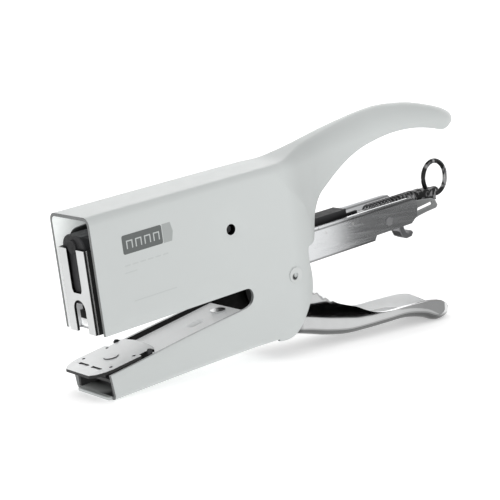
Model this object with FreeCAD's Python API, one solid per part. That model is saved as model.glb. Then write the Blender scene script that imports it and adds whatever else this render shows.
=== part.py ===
import FreeCAD, Part
import os, math
from FreeCAD import Vector as V

os.makedirs("parts", exist_ok=True)

# ---------------------------------------------------------------- driving dimensions (mm)
BODY_W = 24.0          # outside width of the folded sheet body
SHEET = 1.2            # body sheet thickness
HALF = BODY_W / 2.0
IN_HALF = HALF - SHEET # inner face of a side plate
PIVOT_X, PIVOT_Z = 85.0, -42.0   # main pivot, from the nose's top corner
STUD_R = 2.0
RUN = 0.06             # radial running clearance
HANDLE_HALF = 7.75     # half width of the upper grip
LEVER_OUT = 9.9        # lever wall, outer face
LEVER_IN = 8.5         # lever wall, inner face
MAG_OUT = 7.6          # magazine channel, outer face
MAG_IN = 6.7           # magazine channel, inner face (12.7 mm crown staples)
HEAD_OUT = 8.2         # nose head, outer face
NOSE_BOTTOM = -41.0
MAG_TOP = -28.3
PIN_X, PIN_Z = 9.0, -11.0        # drive pin
PIN_R = 1.5
SPRING_PIN = (58.0, -18.0)
ROD_Z = -31.0          # pusher rod axis
LEVER_DEG = 15.0       # lever travel
MAG_DEG = 7.8          # magazine travel
TILT_DEG = 6.40        # the body leans nose down by this much when it stands on the jaw and the lever
LIFT = 63.624
SHIFT_X = -91.850

# ---------------------------------------------------------------- small helpers
def poly(pts, y0, y1):
    "prism of an XZ polygon between two Y planes"
    w = Part.makePolygon([V(x, y0, z) for x, z in pts] + [V(pts[0][0], y0, pts[0][1])])
    return Part.Face(w).extrude(V(0, y1 - y0, 0))

def both(pts, a, b):
    "the same plate on both sides"
    return poly(pts, a, b).fuse(poly(pts, -b, -a))

def box(x0, x1, y0, y1, z0, z1):
    return Part.makeBox(x1 - x0, y1 - y0, z1 - z0, V(x0, y0, z0))

def cyl_y(x, z, r, y0, y1):
    return Part.makeCylinder(r, y1 - y0, V(x, y0, z), V(0, 1, 0))

def cyl_x(y, z, r, x0, x1):
    return Part.makeCylinder(r, x1 - x0, V(x0, y, z), V(1, 0, 0))

def cyl_z(x, y, r, z0, z1):
    return Part.makeCylinder(r, z1 - z0, V(x, y, z0), V(0, 0, 1))

def interp(tab, x):
    if x <= tab[0][0]:
        return tab[0][1]
    for (a, va), (b, vb) in zip(tab, tab[1:]):
        if x <= b:
            t = (x - a) / (b - a)
            return va + (vb - va) * t
    return tab[-1][1]

def smooth(tab, x, h=2.5):
    "table value averaged over a short span"
    return sum(interp(tab, x + h * k / 4.0) for k in range(-4, 5)) / 9.0

def section_top(x, w, zt, zb, r):
    "closed wire in the plane X = x: flat bottom, rounded top corners"
    r = min(r, w - 0.3, (zt - zb) - 0.3)
    s = r * math.sqrt(0.5)
    a = V(x, -w, zb); b = V(x, w, zb)
    c = V(x, w, zt - r); cm = V(x, w - r + s, zt - r + s); d = V(x, w - r, zt)
    e = V(x, -w + r, zt); em = V(x, -w + r - s, zt - r + s); f = V(x, -w, zt - r)
    return Part.Wire([Part.LineSegment(a, b).toShape(), Part.LineSegment(b, c).toShape(),
                      Part.Arc(c, cm, d).toShape(), Part.LineSegment(d, e).toShape(),
                      Part.Arc(e, em, f).toShape(), Part.LineSegment(f, a).toShape()])

def section_bottom(x, w, zt, zb, r):
    "closed wire in the plane X = x: flat top, rounded bottom corners"
    r = min(r, w - 0.3, (zt - zb) - 0.3)
    s = r * math.sqrt(0.5)
    a = V(x, -w, zt); b = V(x, w, zt)
    c = V(x, w, zb + r); cm = V(x, w - r + s, zb + r - s); d = V(x, w - r, zb)
    e = V(x, -w + r, zb); em = V(x, -w + r - s, zb + r - s); f = V(x, -w, zb + r)
    return Part.Wire([Part.LineSegment(a, b).toShape(), Part.LineSegment(b, c).toShape(),
                      Part.Arc(c, cm, d).toShape(), Part.LineSegment(d, e).toShape(),
                      Part.Arc(e, em, f).toShape(), Part.LineSegment(f, a).toShape()])

def loft(wires):
    return Part.makeLoft(wires, True, True)

def tube_path(points, r):
    "round wire along straight runs with spheres at the corners"
    out = None
    for p, q in zip(points, points[1:]):
        d = q.sub(p)
        c = Part.makeCylinder(r, d.Length, p, d)
        out = c if out is None else out.fuse(c)
    for p in points[1:-1]:
        out = out.fuse(Part.makeSphere(r, p))
    return out.removeSplitter()

NODES = {}
def add(name, shape):
    shape = shape.copy()
    shape.rotate(V(0, 0, 0), V(0, 1, 0), -TILT_DEG)
    shape.translate(V(SHIFT_X, 0, LIFT))
    NODES[name] = shape

# ---------------------------------------------------------------- profiles of the body
GRIP_TOP = [(84, -0.1), (87, -0.1), (90.5, 0.1), (94.6, 1.2), (102.8, 3.2), (111.1, 4.9), (119.6, 6.5),
            (128.2, 7.9), (136.9, 9.0), (145.6, 9.5), (154.4, 8.7), (163.1, 7.2), (172.0, 4.6),
            (176.0, 3.2), (179.0, 1.9), (181.5, 0.4), (183.3, -1.0), (184.5, -2.2)]
GRIP_BOT = [(84, -33.0), (92, -33.0), (95.0, -32.6), (96.3, -31.9), (98.6, -26.7), (100.3, -22.6), (104.7, -16.7),
            (109.3, -13.2), (113.9, -10.1), (118.4, -7.5), (122.9, -5.4), (127.4, -3.8), (136.2, -2.0),
            (145.0, -1.1), (153.7, -1.3), (160.7, -2.2), (166.2, -3.5), (169.5, -4.4), (173.8, -5.6), (176.0, -5.3),
            (178.5, -4.6), (180.5, -4.0), (182.5, -3.5), (184.5, -3.1)]
GRIP_W = [(84, 12.0), (87, 11.9), (90, 11.4), (93, 10.6), (96, 9.7), (99, 8.9), (102, 8.3), (105, 7.9), (110, 7.75),
          (170, 7.75), (173, 7.62), (176, 7.16), (178.5, 6.45), (180.5, 5.58), (182.3, 4.4), (183.6, 3.05), (184.5, 1.12)]
GRIP_R = [(84, 3.0), (90, 3.6), (96, 5.0), (104, 6.2), (176, 6.2), (184.5, 6.0)]

# ---------------------------------------------------------------- body shell
side = [(0, 0), (86, 0), (86, -31), (92.4, -33), (92.6, -38.9), (93.2, -44.6), (92.5, -49.9), (89.6, -56.1),
        (86.7, -60), (84, -63.2), (81.5, -64.6), (77.8, -65.1), (73.9, -64.6), (70, -63.9), (2.0, -63.9), (0.4, -62.9),
        (-0.3, -54.75), (13.6, -53.2), (23.1, -51.9), (36.5, -50.4), (43.3, -49.7), (50.3, -49.1), (57.3, -48.4),
        (60.2, -48.1), (62.7, -47.3), (64.1, -45.6), (64.5, -43.9), (64.0, -42.2), (62, -41), (0, -41)]
outer = poly(side, -HALF, HALF)
edges = [e for e in outer.Edges if abs(e.BoundBox.ZMin) < 1e-6 and abs(e.BoundBox.ZMax) < 1e-6 and e.BoundBox.XLength > 80]
outer = outer.makeFillet(3.0, edges)
low = [e for e in outer.Edges if abs(e.BoundBox.ZMin + 63.9) < 1e-3 and abs(e.BoundBox.ZMax + 63.9) < 1e-3 and e.BoundBox.XLength > 60]
outer = outer.makeFillet(1.8, low)
# inside of the upper jaw and of the middle
inner_up = box(-5, 90, -IN_HALF, IN_HALF, -50, -SHEET)
ie = [e for e in inner_up.Edges if abs(e.BoundBox.ZMin + SHEET) < 1e-6 and abs(e.BoundBox.ZMax + SHEET) < 1e-6 and e.BoundBox.XLength > 80]
inner_up = inner_up.makeFillet(1.8, ie)
inner_low = poly([(-5, -45), (-5, -62.7), (74, -62.7), (74, -70), (100, -70), (100, -30), (84, -30), (84, -45)], -IN_HALF, IN_HALF)
xs = [84, 86, 88, 90, 92, 94, 96, 98, 100, 102, 104.5, 107, 110, 114, 118, 122, 127, 132, 138, 145, 152, 159, 166,
      170, 173, 176, 178.5, 180.5, 182.3, 183.6, 184.5]
grip_out = loft([section_top(x, interp(GRIP_W, x), interp(GRIP_TOP, x), interp(GRIP_BOT, x), interp(GRIP_R, x)) for x in xs])
xi = [83, 86, 88, 90, 92, 94, 96, 98, 100, 102, 104.5, 107, 110, 114, 118, 122, 127, 132, 138, 145, 152, 159, 166,
      170, 173, 176, 178.5, 180.5, 182.3]
def w_in(x):
    return max(interp(GRIP_W, x) - SHEET - (0.3 if x > 178 else 0.0), 0.9)
grip_in = loft([section_top(x, w_in(x), interp(GRIP_TOP, x) - SHEET - (0.3 if x > 178 else 0.0),
                            interp(GRIP_BOT, x) - 6.0, max(interp(GRIP_R, x) - SHEET, 0.8)) for x in xi])
shell = outer.fuse(grip_out).cut(inner_up).cut(inner_low).cut(grip_in)
# body hole on both sides, and the stud holes
shell = shell.cut(cyl_y(SPRING_PIN[0], SPRING_PIN[1], 2.0, -20, 20))
shell = shell.cut(cyl_y(PIVOT_X, PIVOT_Z, STUD_R, -20, 20))
# front lip of the jaw floor
lip = box(-1.1, 2.2, -9.6, 9.6, -63.9, -62.7)
shell = shell.fuse(lip).removeSplitter()
add("body_shell", shell)

# ---------------------------------------------------------------- pivot studs, washers
studs = None; washers = None
for s in (1, -1):
    def cy(r, a, b):
        return cyl_y(PIVOT_X, PIVOT_Z, r, min(s * a, s * b), max(s * a, s * b))
    st = cy(STUD_R, 6.55, HALF).fuse(cy(2.9, HALF, HALF + 0.45)).cut(cy(0.95, HALF - 1.4, HALF + 1))
    wa = cy(4.2, 10.2, IN_HALF).cut(cy(STUD_R, 9, 12))
    studs = st if studs is None else studs.fuse(st)
    washers = wa if washers is None else washers.fuse(wa)
add("pivot_studs", studs)
add("pivot_washers", washers)

# ---------------------------------------------------------------- anvil bed, base, rivets, clip
SL = 0.12
def bedz(x): return -56.8 + SL * x
bed = poly([(0.6, bedz(0.6)), (61.5, bedz(61.5)), (61.5, -62.7), (0.6, -62.7)], -IN_HALF, IN_HALF)
bed = bed.cut(poly([(-5, bedz(-5) - 1.2), (70, bedz(70) - 1.2), (70, -70), (-5, -70)], -IN_HALF + 1.2, IN_HALF - 1.2))
slot = cyl_z(44.0, 0, 1.7, -70, -40).fuse(cyl_z(47.5, 0, 1.7, -70, -40)).fuse(box(44.0, 47.5, -1.7, 1.7, -70, -40))
bed = bed.cut(slot)
for x in (8.0, 56.5):
    bed = bed.cut(cyl_z(x, 0, 1.6, -70, -40))
add("anvil_bed", bed)
def platez(x): return -53.2 + 0.10 * x            # top of the anvil plate
base = poly([(0.8, bedz(0.8)), (19.0, bedz(19.0)), (19.0, platez(19) - 1.1 - 0.12), (0.8, platez(0.8) - 1.1 - 0.12)], -6.5, 6.5)
base = base.cut(cyl_z(8.0, 0, 1.6, -70, -40))
base = base.cut(box(2.5, 14.5, -1.3, 1.3, -54.8, -50))
add("anvil_base", base)
riv = cyl_z(8.0, 0, 1.6, bedz(8) - 1.9, -54.95).fuse(cyl_z(8.0, 0, 2.8, bedz(8) - 2.1, bedz(8) - 1.32))
riv2 = cyl_z(56.5, 0, 1.6, bedz(56.5) - 1.9, bedz(56.5) + 0.5).fuse(cyl_z(56.5, 0, 2.8, bedz(56.5) + 0.26, bedz(56.5) + 0.9)).fuse(cyl_z(56.5, 0, 2.6, bedz(56.5) - 2.1, bedz(56.5) - 1.5))
add("anvil_rivets", riv.fuse(riv2).cut(bed).cut(base))
# anvil plate: slides forward and back on the base
pl = [(-6.0, -6.5), (-6.0, 7.0), (-4.2, 9.0), (-1.5, 10.4), (1.5, 11.0), (13.6, 11.0), (13.9, 9.2), (18.9, 9.2), (19.2, 10.9),
      (20.6, 8.5), (21.5, 4.5), (21.8, 0.0), (21.5, -4.5), (20.6, -8.5), (19.2, -10.9), (18.9, -9.2), (13.9, -9.2),
      (13.6, -11.0), (1.5, -11.0), (-1.5, -10.4), (-4.2, -9.0), (-6.0, -7.0)]
w = Part.makePolygon([V(x, y, -60) for x, y in pl] + [V(pl[0][0], pl[0][1], -60)])
plate = Part.Face(w).extrude(V(0, 0, 20))
plate = plate.common(poly([(-10, platez(-10)), (30, platez(30)), (30, platez(30) - 1.1), (-10, platez(-10) - 1.1)], -15, 15))
# clinch grooves: two curved pockets each for stapling and for pinning
for x, hy in ((-0.5, 6.6),):
    for s in (1, -1):
        g = box(x - 0.6, x + 0.6, min(s * 1.0, s * hy), max(s * 1.0, s * hy), platez(x) - 0.45, platez(x) + 1)
        plate = plate.cut(g)
plate = plate.cut(cyl_z(2.4, 8.4, 0.6, -60, -45)).cut(cyl_z(12.4, 8.2, 0.6, -60, -45))
plate = plate.cut(cyl_z(12.4, -8.2, 0.6, -60, -45)).cut(cyl_z(2.4, -8.4, 0.6, -60, -45))
key = poly([(4.6, -53.4), (11.2, -52.7), (11.2, -54.6), (4.6, -54.6)], -1.15, 1.15)
boss = cyl_z(8.3, 0, 2.7, -60, -45).common(poly([(0, platez(0) + 0.3), (20, platez(20) + 0.3), (20, platez(20) - 0.5), (0, platez(0) - 0.5)], -5, 5))
plate = plate.fuse(boss).fuse(key).removeSplitter()
add("anvil_plate", plate)
# spring clip over the bed whose ends stand in the plate's side notches
clip = poly([(16.8, bedz(16.8)), (18.6, bedz(18.6)), (18.6, bedz(18.6) + 0.6), (16.8, bedz(16.8) + 0.6)], 6.9, 10.6)
clip = clip.fuse(poly([(16.8, bedz(16.8)), (18.6, bedz(18.6)), (18.6, -50.9), (17.4, -50.7), (16.8, -51.3)], 9.6, 10.6))
clip2 = clip.mirror(V(0, 0, 0), V(0, 1, 0))
add("anvil_clip", clip.fuse(clip2))

# ---------------------------------------------------------------- spring anchor and lever stop under the top web
anchor = box(77, 85, -5.0, 5.0, -2.4, -SHEET)
for s in (1, -1):
    anchor = anchor.fuse(box(79.2, 82.6, min(s * 0.7, s * 1.7), max(s * 0.7, s * 1.7), -11.0, -2.3))
anchor = anchor.cut(cyl_y(80.9, -9.4, 0.8, -5, 5))
add("spring_anchor", anchor.removeSplitter())
add("anchor_pin", cyl_y(80.9, -9.4, 0.8, -1.9, 1.9))
stop = box(15, 24, 8.4, 10.0, -6.1, -SHEET).fuse(box(15, 24, -10.0, -8.4, -6.1, -SHEET))
add("lever_stop", stop.cut(shell))

# ---------------------------------------------------------------- lower handle lever
LEV_TOP = [(92.0, -46.5), (95, -49.5), (100, -54.2), (104.5, -58.4), (110.2, -60.9), (115.3, -62.6), (119.5, -65.4), (124.6, -68.1),
           (131.5, -69.7), (140, -70.3), (148, -71.0), (155, -71.7), (158.5, -72.5), (161.8, -73.5), (165.1, -75.5), (167.3, -77.0),
           (169.1, -78.6), (170.5, -79.4), (171.5, -79.8)]
LEV_BOT = [(82, -64.9), (84.4, -65.4), (90.7, -67.4), (100.4, -70.7), (110.6, -73.3), (121.2, -74.5), (132, -75.3),
           (143.2, -76.2), (150.0, -77.8), (154.3, -79.3), (157.5, -81.0), (160.3, -82.0), (163.0, -82.3), (166.0, -82.5), (168.5, -82.2),
           (170.5, -81.2), (171.5, -80.4)]
LEV_W = [(82, 9.9), (154, 9.9), (157, 9.81), (160, 9.5), (162.5, 9.01), (165, 8.25), (167, 7.37), (169, 6.12), (170.5, 4.7), (171.5, 3.19)]
LEV_R = [(82, 3.6), (110, 4.2), (150, 4.2), (171.5, 3.5)]
arm = [(9.0, -7.1), (30, -6.3), (50, -9.2), (62, -12.8), (76, -22), (87.5, -29.0), (90.6, -33.5), (91.2, -42), (92.0, -46.5), (95, -49.5),
       (100, -54.2), (104.5, -58.4), (110.2, -60.9), (114, -62.2), (110, -68.5), (100.4, -67.0), (90.7, -64.0), (84.4, -62.8), (82.0, -62.5), (77.4, -52), (76.4, -46), (73, -38.5),
       (62, -27), (40, -18.2), (9.0, -14.9)]
arms = both(arm, LEVER_IN, LEVER_OUT)
for s in (1, -1):
    arms = arms.fuse(cyl_y(PIN_X, PIN_Z, 3.9, min(s * LEVER_IN, s * LEVER_OUT), max(s * LEVER_IN, s * LEVER_OUT)))
xs = [82, 84.4, 87.5, 90.7, 95.5, 100.4, 105.5, 110.6, 116, 121.2, 126.5, 132, 137.5, 143.2, 147, 150.5, 154, 157, 160, 162.5, 165, 167, 169, 170.5, 171.5]
def ltop(x):
    return interp(LEV_TOP, x) if x > 112 else min(-61.5, interp(LEV_TOP, x))
ch_out = loft([section_bottom(x, interp(LEV_W, x), max(ltop(x), interp(LEV_BOT, x) + 0.4), interp(LEV_BOT, x), interp(LEV_R, x)) for x in xs])
xi = [81, 84.4, 87.5, 90.7, 95.5, 100.4, 105.5, 110.6, 116, 121.2, 126.5, 132, 137.5, 143.2, 147, 150.5, 154, 157, 160, 162.5, 165, 167, 169]
ch_in = loft([section_bottom(x, interp(LEV_W, x) - 1.4, interp(LEV_TOP, x) + 30.0, min(interp(LEV_BOT, x) + 1.4, interp(LEV_TOP, x) - 1.0), max(interp(LEV_R, x) - 1.4, 0.8)) for x in xi])
lever = arms.fuse(ch_out)
lever = lever.cut(ch_in)
lever = lever.cut(cyl_y(PIVOT_X, PIVOT_Z, STUD_R + RUN, -20, 20))
lever = lever.cut(cyl_y(PIN_X, PIN_Z, PIN_R, -20, 20)).cut(cyl_y(SPRING_PIN[0], SPRING_PIN[1], 1.3, -20, 20))
add("lower_handle", lever.removeSplitter())
add("drive_pin", cyl_y(PIN_X, PIN_Z, PIN_R, -10.3, 10.3))
add("spring_pin", cyl_y(SPRING_PIN[0], SPRING_PIN[1], 1.3, -10.3, 10.3).cut(cyl_y(SPRING_PIN[0], SPRING_PIN[1], 3, -0.6, 0.6).cut(cyl_y(SPRING_PIN[0], SPRING_PIN[1], 0.95, -1, 1))))

# return spring, a hollow sleeve at the coil's outside, with an eye at each end
p0 = V(SPRING_PIN[0], 0, SPRING_PIN[1]); p1 = V(80.9, 0, -9.4)
d = p1.sub(p0); L = d.Length; u = V(d.x / L, 0, d.z / L)
a = p0 + u * 4.5; b = p0 + u * (L - 4.2)
coil = Part.makeCylinder(2.8, (b - a).Length, a, u).cut(Part.makeCylinder(1.9, (b - a).Length + 2, a - u, u))
def eye(c, r, direction):
    e = Part.makeTorus(r, 0.42, c, V(0, 1, 0))
    return e
hook0 = Part.makeCylinder(0.42, 2.6, p0 + u * 2.0 + V(0, 0, 0), u).fuse(Part.makeTorus(1.6, 0.42, p0, V(0, 1, 0)))
hook1 = Part.makeCylinder(0.42, 2.9, b - u * 0.3, u).fuse(Part.makeTorus(1.3, 0.42, p1, V(0, 1, 0)))
rung0 = Part.makeCylinder(2.3, 0.7, a, u)
rung1 = Part.makeCylinder(2.3, 0.7, b - u * 0.7, u)
add("return_spring", coil.fuse(rung0).fuse(rung1).fuse(hook0).fuse(hook1))

# ---------------------------------------------------------------- magazine
MAGEND = 130.7
wall = [(1.2, NOSE_BOTTOM), (77.6, NOSE_BOTTOM), (80.0, -45.2), (82.4, -46.5), (87.6, -46.5), (90.0, -45.2), (92.4, NOSE_BOTTOM), (MAGEND, NOSE_BOTTOM), (131.9, -39.1),
        (151.3, -39.0), (154.3, -36.8), (155.2, -33.6), (154.9, -30.6), (153.0, -29.0), (150.0, -28.5), (118.9, MAG_TOP), (1.2, MAG_TOP)]
chan = both(wall, MAG_IN, MAG_OUT)
chan = chan.fuse(box(2.4, MAGEND, -MAG_IN, MAG_IN, NOSE_BOTTOM, NOSE_BOTTOM + 0.9))
bead = poly([(102.5, MAG_TOP), (128.5, MAG_TOP), (128.5, MAG_TOP - 1.1), (102.5, MAG_TOP - 1.1)], MAG_OUT, MAG_OUT + 0.3)
chan = chan.fuse(bead).fuse(bead.mirror(V(0, 0, 0), V(0, 1, 0)))
chan = chan.cut(cyl_y(PIVOT_X, PIVOT_Z, STUD_R + RUN, -20, 20))
chan = chan.cut(cyl_y(13.0, -36.5, 0.9, -20, 20)).cut(cyl_y(139, -35.2, 1.0, -20, 20))
chan = chan.cut(cyl_y(106, -31.6, 0.6, -20, 20)).cut(cyl_y(120, -31.6, 0.6, -20, 20))
add("magazine_channel", chan.removeSplitter())
core = box(2.4, 112, -5.7, 5.7, NOSE_BOTTOM + 0.9, -34.6).cut(box(0, 120, -4.9, 4.9, NOSE_BOTTOM - 1, -35.4))
core = core.fuse(box(2.4, 3.2, -5.7, 5.7, NOSE_BOTTOM + 0.9, -35.2))
add("staple_core", core.removeSplitter())

# nose head: front plate with slot and arch, and two legs over the channel
front = box(-1.1, -0.1, -7.75, 7.75, NOSE_BOTTOM, -11.5)
front = front.cut(box(-3, 2, -2.95, 2.95, -27.0 + 2.0, 0)).cut(cyl_x(0, -25.0, 2.95, -3, 2).common(box(-3, 2, -2.95, 2.95, -27.0, 0)))
front = front.cut(cyl_x(0, -33.0, 3.5, -3, 2)).cut(box(-3, 2, -3.5, 3.5, -50, -33.0))
leg = [(-0.1, NOSE_BOTTOM), (16.5, NOSE_BOTTOM), (16.5, -31.0), (12.0, -29.5), (3.9, -26.0), (2.9, -23.0), (2.9, -11.5), (-0.1, -11.5)]
head = front.fuse(both(leg, MAG_OUT, HEAD_OUT)).removeSplitter()
head = head.cut(cyl_y(13.0, -36.5, 0.9, -20, 20))
add("head_plate", head)
hr = cyl_y(13.0, -36.5, 0.9, MAG_IN, HEAD_OUT).fuse(cyl_y(13.0, -36.5, 0.9, -HEAD_OUT, -MAG_IN))
add("head_rivets", hr)

# guide block on top of the magazine, behind the body
gb = box(100.5, 120.8, -3.6, 3.6, -33.4, -26.2).fuse(box(120.8, 126.4, -3.6, 3.6, -33.4, -28.0))
gb = gb.fuse(box(101.5, 124.5, -MAG_IN, MAG_IN, -33.4, -30.2))
gb = gb.cut(box(90, 130, -2.75, 2.75, -40, -27.9))
gb = gb.cut(cyl_y(106, -31.6, 0.6, -20, 20)).cut(cyl_y(120, -31.6, 0.6, -20, 20))
add("guide_block", gb.removeSplitter())
add("guide_rivets", cyl_y(106, -31.6, 0.6, 4.5, MAG_OUT).fuse(cyl_y(106, -31.6, 0.6, -MAG_OUT, -4.5)).fuse(
    cyl_y(120, -31.6, 0.6, 4.5, MAG_OUT)).fuse(cyl_y(120, -31.6, 0.6, -MAG_OUT, -4.5)))

# rear bracket: plate standing in the channel's end, with a slot, and the shelf for the catch
br = poly([(149.0, -38.9), (153.2, -38.9), (157.6, -37.7), (162.6, -37.1), (168.0, -36.7), (168.9, -35.7), (167.7, -33.3), (165.6, -32.2), (157, -31.2), (149.0, -31.0)], 4.4, 5.4)
br = br.cut(poly([(155.5, -35.9), (155.2, -34.6), (165.6, -33.5), (166.1, -34.9)], 0, 8))
br = br.fuse(br.mirror(V(0, 0, 0), V(0, 1, 0)))
br = br.fuse(both([(133, -38.6), (151.5, -38.6), (151.5, -31.5), (133, -31.5)], 5.4, MAG_IN))
br = br.fuse(both([(148.6, -38.6), (151.5, -38.6), (151.5, -31.5), (148.6, -31.5)], 4.4, MAG_IN))
br = br.fuse(box(133, 144.4, -MAG_IN, MAG_IN, -39.2, -38.4))
br = br.cut(cyl_y(139, -35.2, 1.0, -20, 20))
br = br.cut(cyl_y(147.2, -36.2, 1.0, -20, 20))
add("rear_bracket", br.removeSplitter())
add("bracket_rivets", cyl_y(139, -35.2, 1.0, 5.4, MAG_OUT + 0.35).fuse(cyl_y(139, -35.2, 1.7, MAG_OUT, MAG_OUT + 0.4)).fuse(
    cyl_y(139, -35.2, 1.0, -MAG_OUT - 0.35, -5.4)).fuse(cyl_y(139, -35.2, 1.7, -MAG_OUT - 0.4, -MAG_OUT)))
add("catch_pin", cyl_y(147.2, -36.2, 1.0, -MAG_IN, MAG_IN))

# catch hook
hook = [(145.9, -36.0), (146.4, -34.8), (148.4, -34.8), (149.8, -36.2), (151.7, -38.8), (151.6, -41.2), (152.3, -43.2), (153.8, -44.1), (155.6, -43.4),
        (156.5, -44.4), (155.6, -45.8), (152.8, -46.1), (150.4, -44.8), (149.2, -42.4), (148.9, -40.0), (146.4, -37.8)]
ck = poly(hook, -2.6, 2.6).fuse(cyl_y(147.2, -36.2, 1.9, -2.6, 2.6)).cut(cyl_y(147.2, -36.2, 1.0 + RUN, -5, 5))
add("catch_hook", ck.removeSplitter())

# ---------------------------------------------------------------- pusher rod group
rod = cyl_x(0, ROD_Z, 1.1, 4.0, 171.0).fuse(cyl_x(0, ROD_Z, 2.2, 124.2, 125.4))
add("pusher_rod", rod)
add("rod_sleeve", cyl_x(0, ROD_Z, 2.9, 134.6, 150.5).fuse(cyl_x(0, ROD_Z, 3.2, 134.6, 135.6)).cut(cyl_x(0, ROD_Z, 1.1, 120, 160)))
endp = cyl_x(0, ROD_Z, 2.7, 150.5, 164.0).fuse(cyl_x(0, ROD_Z, 2.8, 150.5, 152.5)).fuse(box(161.0, 171.0, -2.7, 2.7, ROD_Z - 3.1, ROD_Z + 1.7)).cut(cyl_x(0, ROD_Z, 1.1, 120, 180))
add("rod_end_piece", endp.removeSplitter())
# pull ring
RING_A, RING_B, RING_R = 6.8, 6.3, 0.95
RING_TILT, RING_C = 82.0, (173.7, -25.8)
ring = None
for a0, cx in ((0.0, RING_A), (math.pi, -RING_A)):
    w = Part.Wire([Part.ArcOfEllipse(Part.Ellipse(V(0, 0, 0), RING_A, RING_B), a0, a0 + math.pi).toShape()])
    prof = Part.Wire([Part.Circle(V(cx, 0, 0), V(0, 1, 0), RING_R).toShape()])
    h = w.makePipeShell([prof], True, False)
    ring = h if ring is None else ring.fuse(h)
ring.rotate(V(0, 0, 0), V(1, 0, 0), 90)
ring.rotate(V(0, 0, 0), V(0, 1, 0), RING_TILT)
ring.translate(V(RING_C[0], 0, RING_C[1]))
ferrule = cyl_x(0, ROD_Z, 1.7, 171.0, 173.4).fuse(Part.makeSphere(1.7, V(173.2, 0, ROD_Z)))
add("pull_ring", ring.fuse(ferrule).cut(endp).cut(rod).removeSplitter())

# pusher and its spring
pusher = box(4.0, 14.0, -6.3, 6.3, -39.6, -31.9).cut(box(0, 20, -6.0, 6.0, -45, -34.3)).fuse(cyl_x(0, ROD_Z, 2.6, 4.0, 14.0).fuse(box(4.0, 14.0, -1.6, 1.6, -32.2, ROD_Z)))
pusher = pusher.cut(cyl_x(0, ROD_Z, 1.1 + RUN, 0, 20))
add("pusher", pusher.removeSplitter())
sp = cyl_x(0, ROD_Z, 2.4, 14.05, 124.15).cut(cyl_x(0, ROD_Z, 1.5, 10, 140))
add("pusher_spring", sp)

# ---------------------------------------------------------------- driver
blade = box(0.05, 0.85, -6.35, 6.35, -31.2, -7.0)
be = [e for e in blade.Edges if e.BoundBox.XLength > 0.7 and e.BoundBox.YLength < 1e-6 and e.BoundBox.ZLength < 1e-6 and e.BoundBox.ZMax > -7.1]
blade = blade.makeFillet(4.6, be).cut(cyl_x(0, PIN_Z, 1.8, -1, 3))
add("driver_blade", blade)
dh = box(0.85, 12.6, -4.4, 4.4, -15.0, -7.4).fuse(cyl_x(0, PIN_Z, 1.8, -0.4, 1.2)).fuse(cyl_x(0, PIN_Z, 2.4, -0.75, 0.05))
sl = box(PIN_X - 3.3, PIN_X, -6, 6, PIN_Z - PIN_R - 0.12, PIN_Z + PIN_R + 0.12)
sl = sl.fuse(cyl_y(PIN_X, PIN_Z, PIN_R + 0.12, -6, 6)).fuse(cyl_y(PIN_X - 3.3, PIN_Z, PIN_R + 0.12, -6, 6))
dh = dh.cut(sl)
add("driver_head", dh.removeSplitter())

# ---------------------------------------------------------------- write
allmin = [1e9] * 3; allmax = [-1e9] * 3
for name, s in NODES.items():
    b = s.BoundBox
    lo = (b.XMin, b.YMin, b.ZMin); hi = (b.XMax, b.YMax, b.ZMax)
    for i in range(3):
        allmin[i] = min(allmin[i], lo[i]); allmax[i] = max(allmax[i], hi[i])
    s.exportStep("parts/%s.step" % name)
    print("%-18s solids %d valid %s vol %9.1f  x %.2f..%.2f y %.2f..%.2f z %.2f..%.2f" % (
        name, len(s.Solids), s.isValid(), s.Volume, lo[0], hi[0], lo[1], hi[1], lo[2], hi[2]))
print("all", [round(v, 3) for v in allmin], [round(v, 3) for v in allmax])
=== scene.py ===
import bpy, bmesh, math
import numpy as np
from mathutils import Vector, Matrix
from mathutils.geometry import delaunay_2d_cdt


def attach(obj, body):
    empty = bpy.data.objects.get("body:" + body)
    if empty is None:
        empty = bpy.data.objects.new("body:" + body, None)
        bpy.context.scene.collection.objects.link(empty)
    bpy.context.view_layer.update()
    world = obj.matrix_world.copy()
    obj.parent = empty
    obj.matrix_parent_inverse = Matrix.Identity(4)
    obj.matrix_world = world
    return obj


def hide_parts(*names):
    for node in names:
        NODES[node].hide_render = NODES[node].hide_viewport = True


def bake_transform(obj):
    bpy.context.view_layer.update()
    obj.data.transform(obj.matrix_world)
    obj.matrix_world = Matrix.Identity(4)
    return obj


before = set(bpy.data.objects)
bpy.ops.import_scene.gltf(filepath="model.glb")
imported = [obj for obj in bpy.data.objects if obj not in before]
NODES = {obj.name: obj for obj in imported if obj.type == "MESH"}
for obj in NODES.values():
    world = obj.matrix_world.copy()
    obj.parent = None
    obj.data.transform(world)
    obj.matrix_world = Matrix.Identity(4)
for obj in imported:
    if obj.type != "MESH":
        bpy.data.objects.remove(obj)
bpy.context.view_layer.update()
scene = bpy.context.scene

# ------------------------------------------------------------------ body frame (mm) -> row frame (m)
TH = math.radians(6.40)
CT, ST = math.cos(TH), math.sin(TH)
LIFT, SX = 63.624, -91.850

def R(x, y, z):
    return Vector(((x * CT - z * ST + SX) / 1000.0, y / 1000.0, (x * ST + z * CT + LIFT) / 1000.0))

def DR(x, y, z):
    return Vector((x * CT - z * ST, y, x * ST + z * CT))

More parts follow.
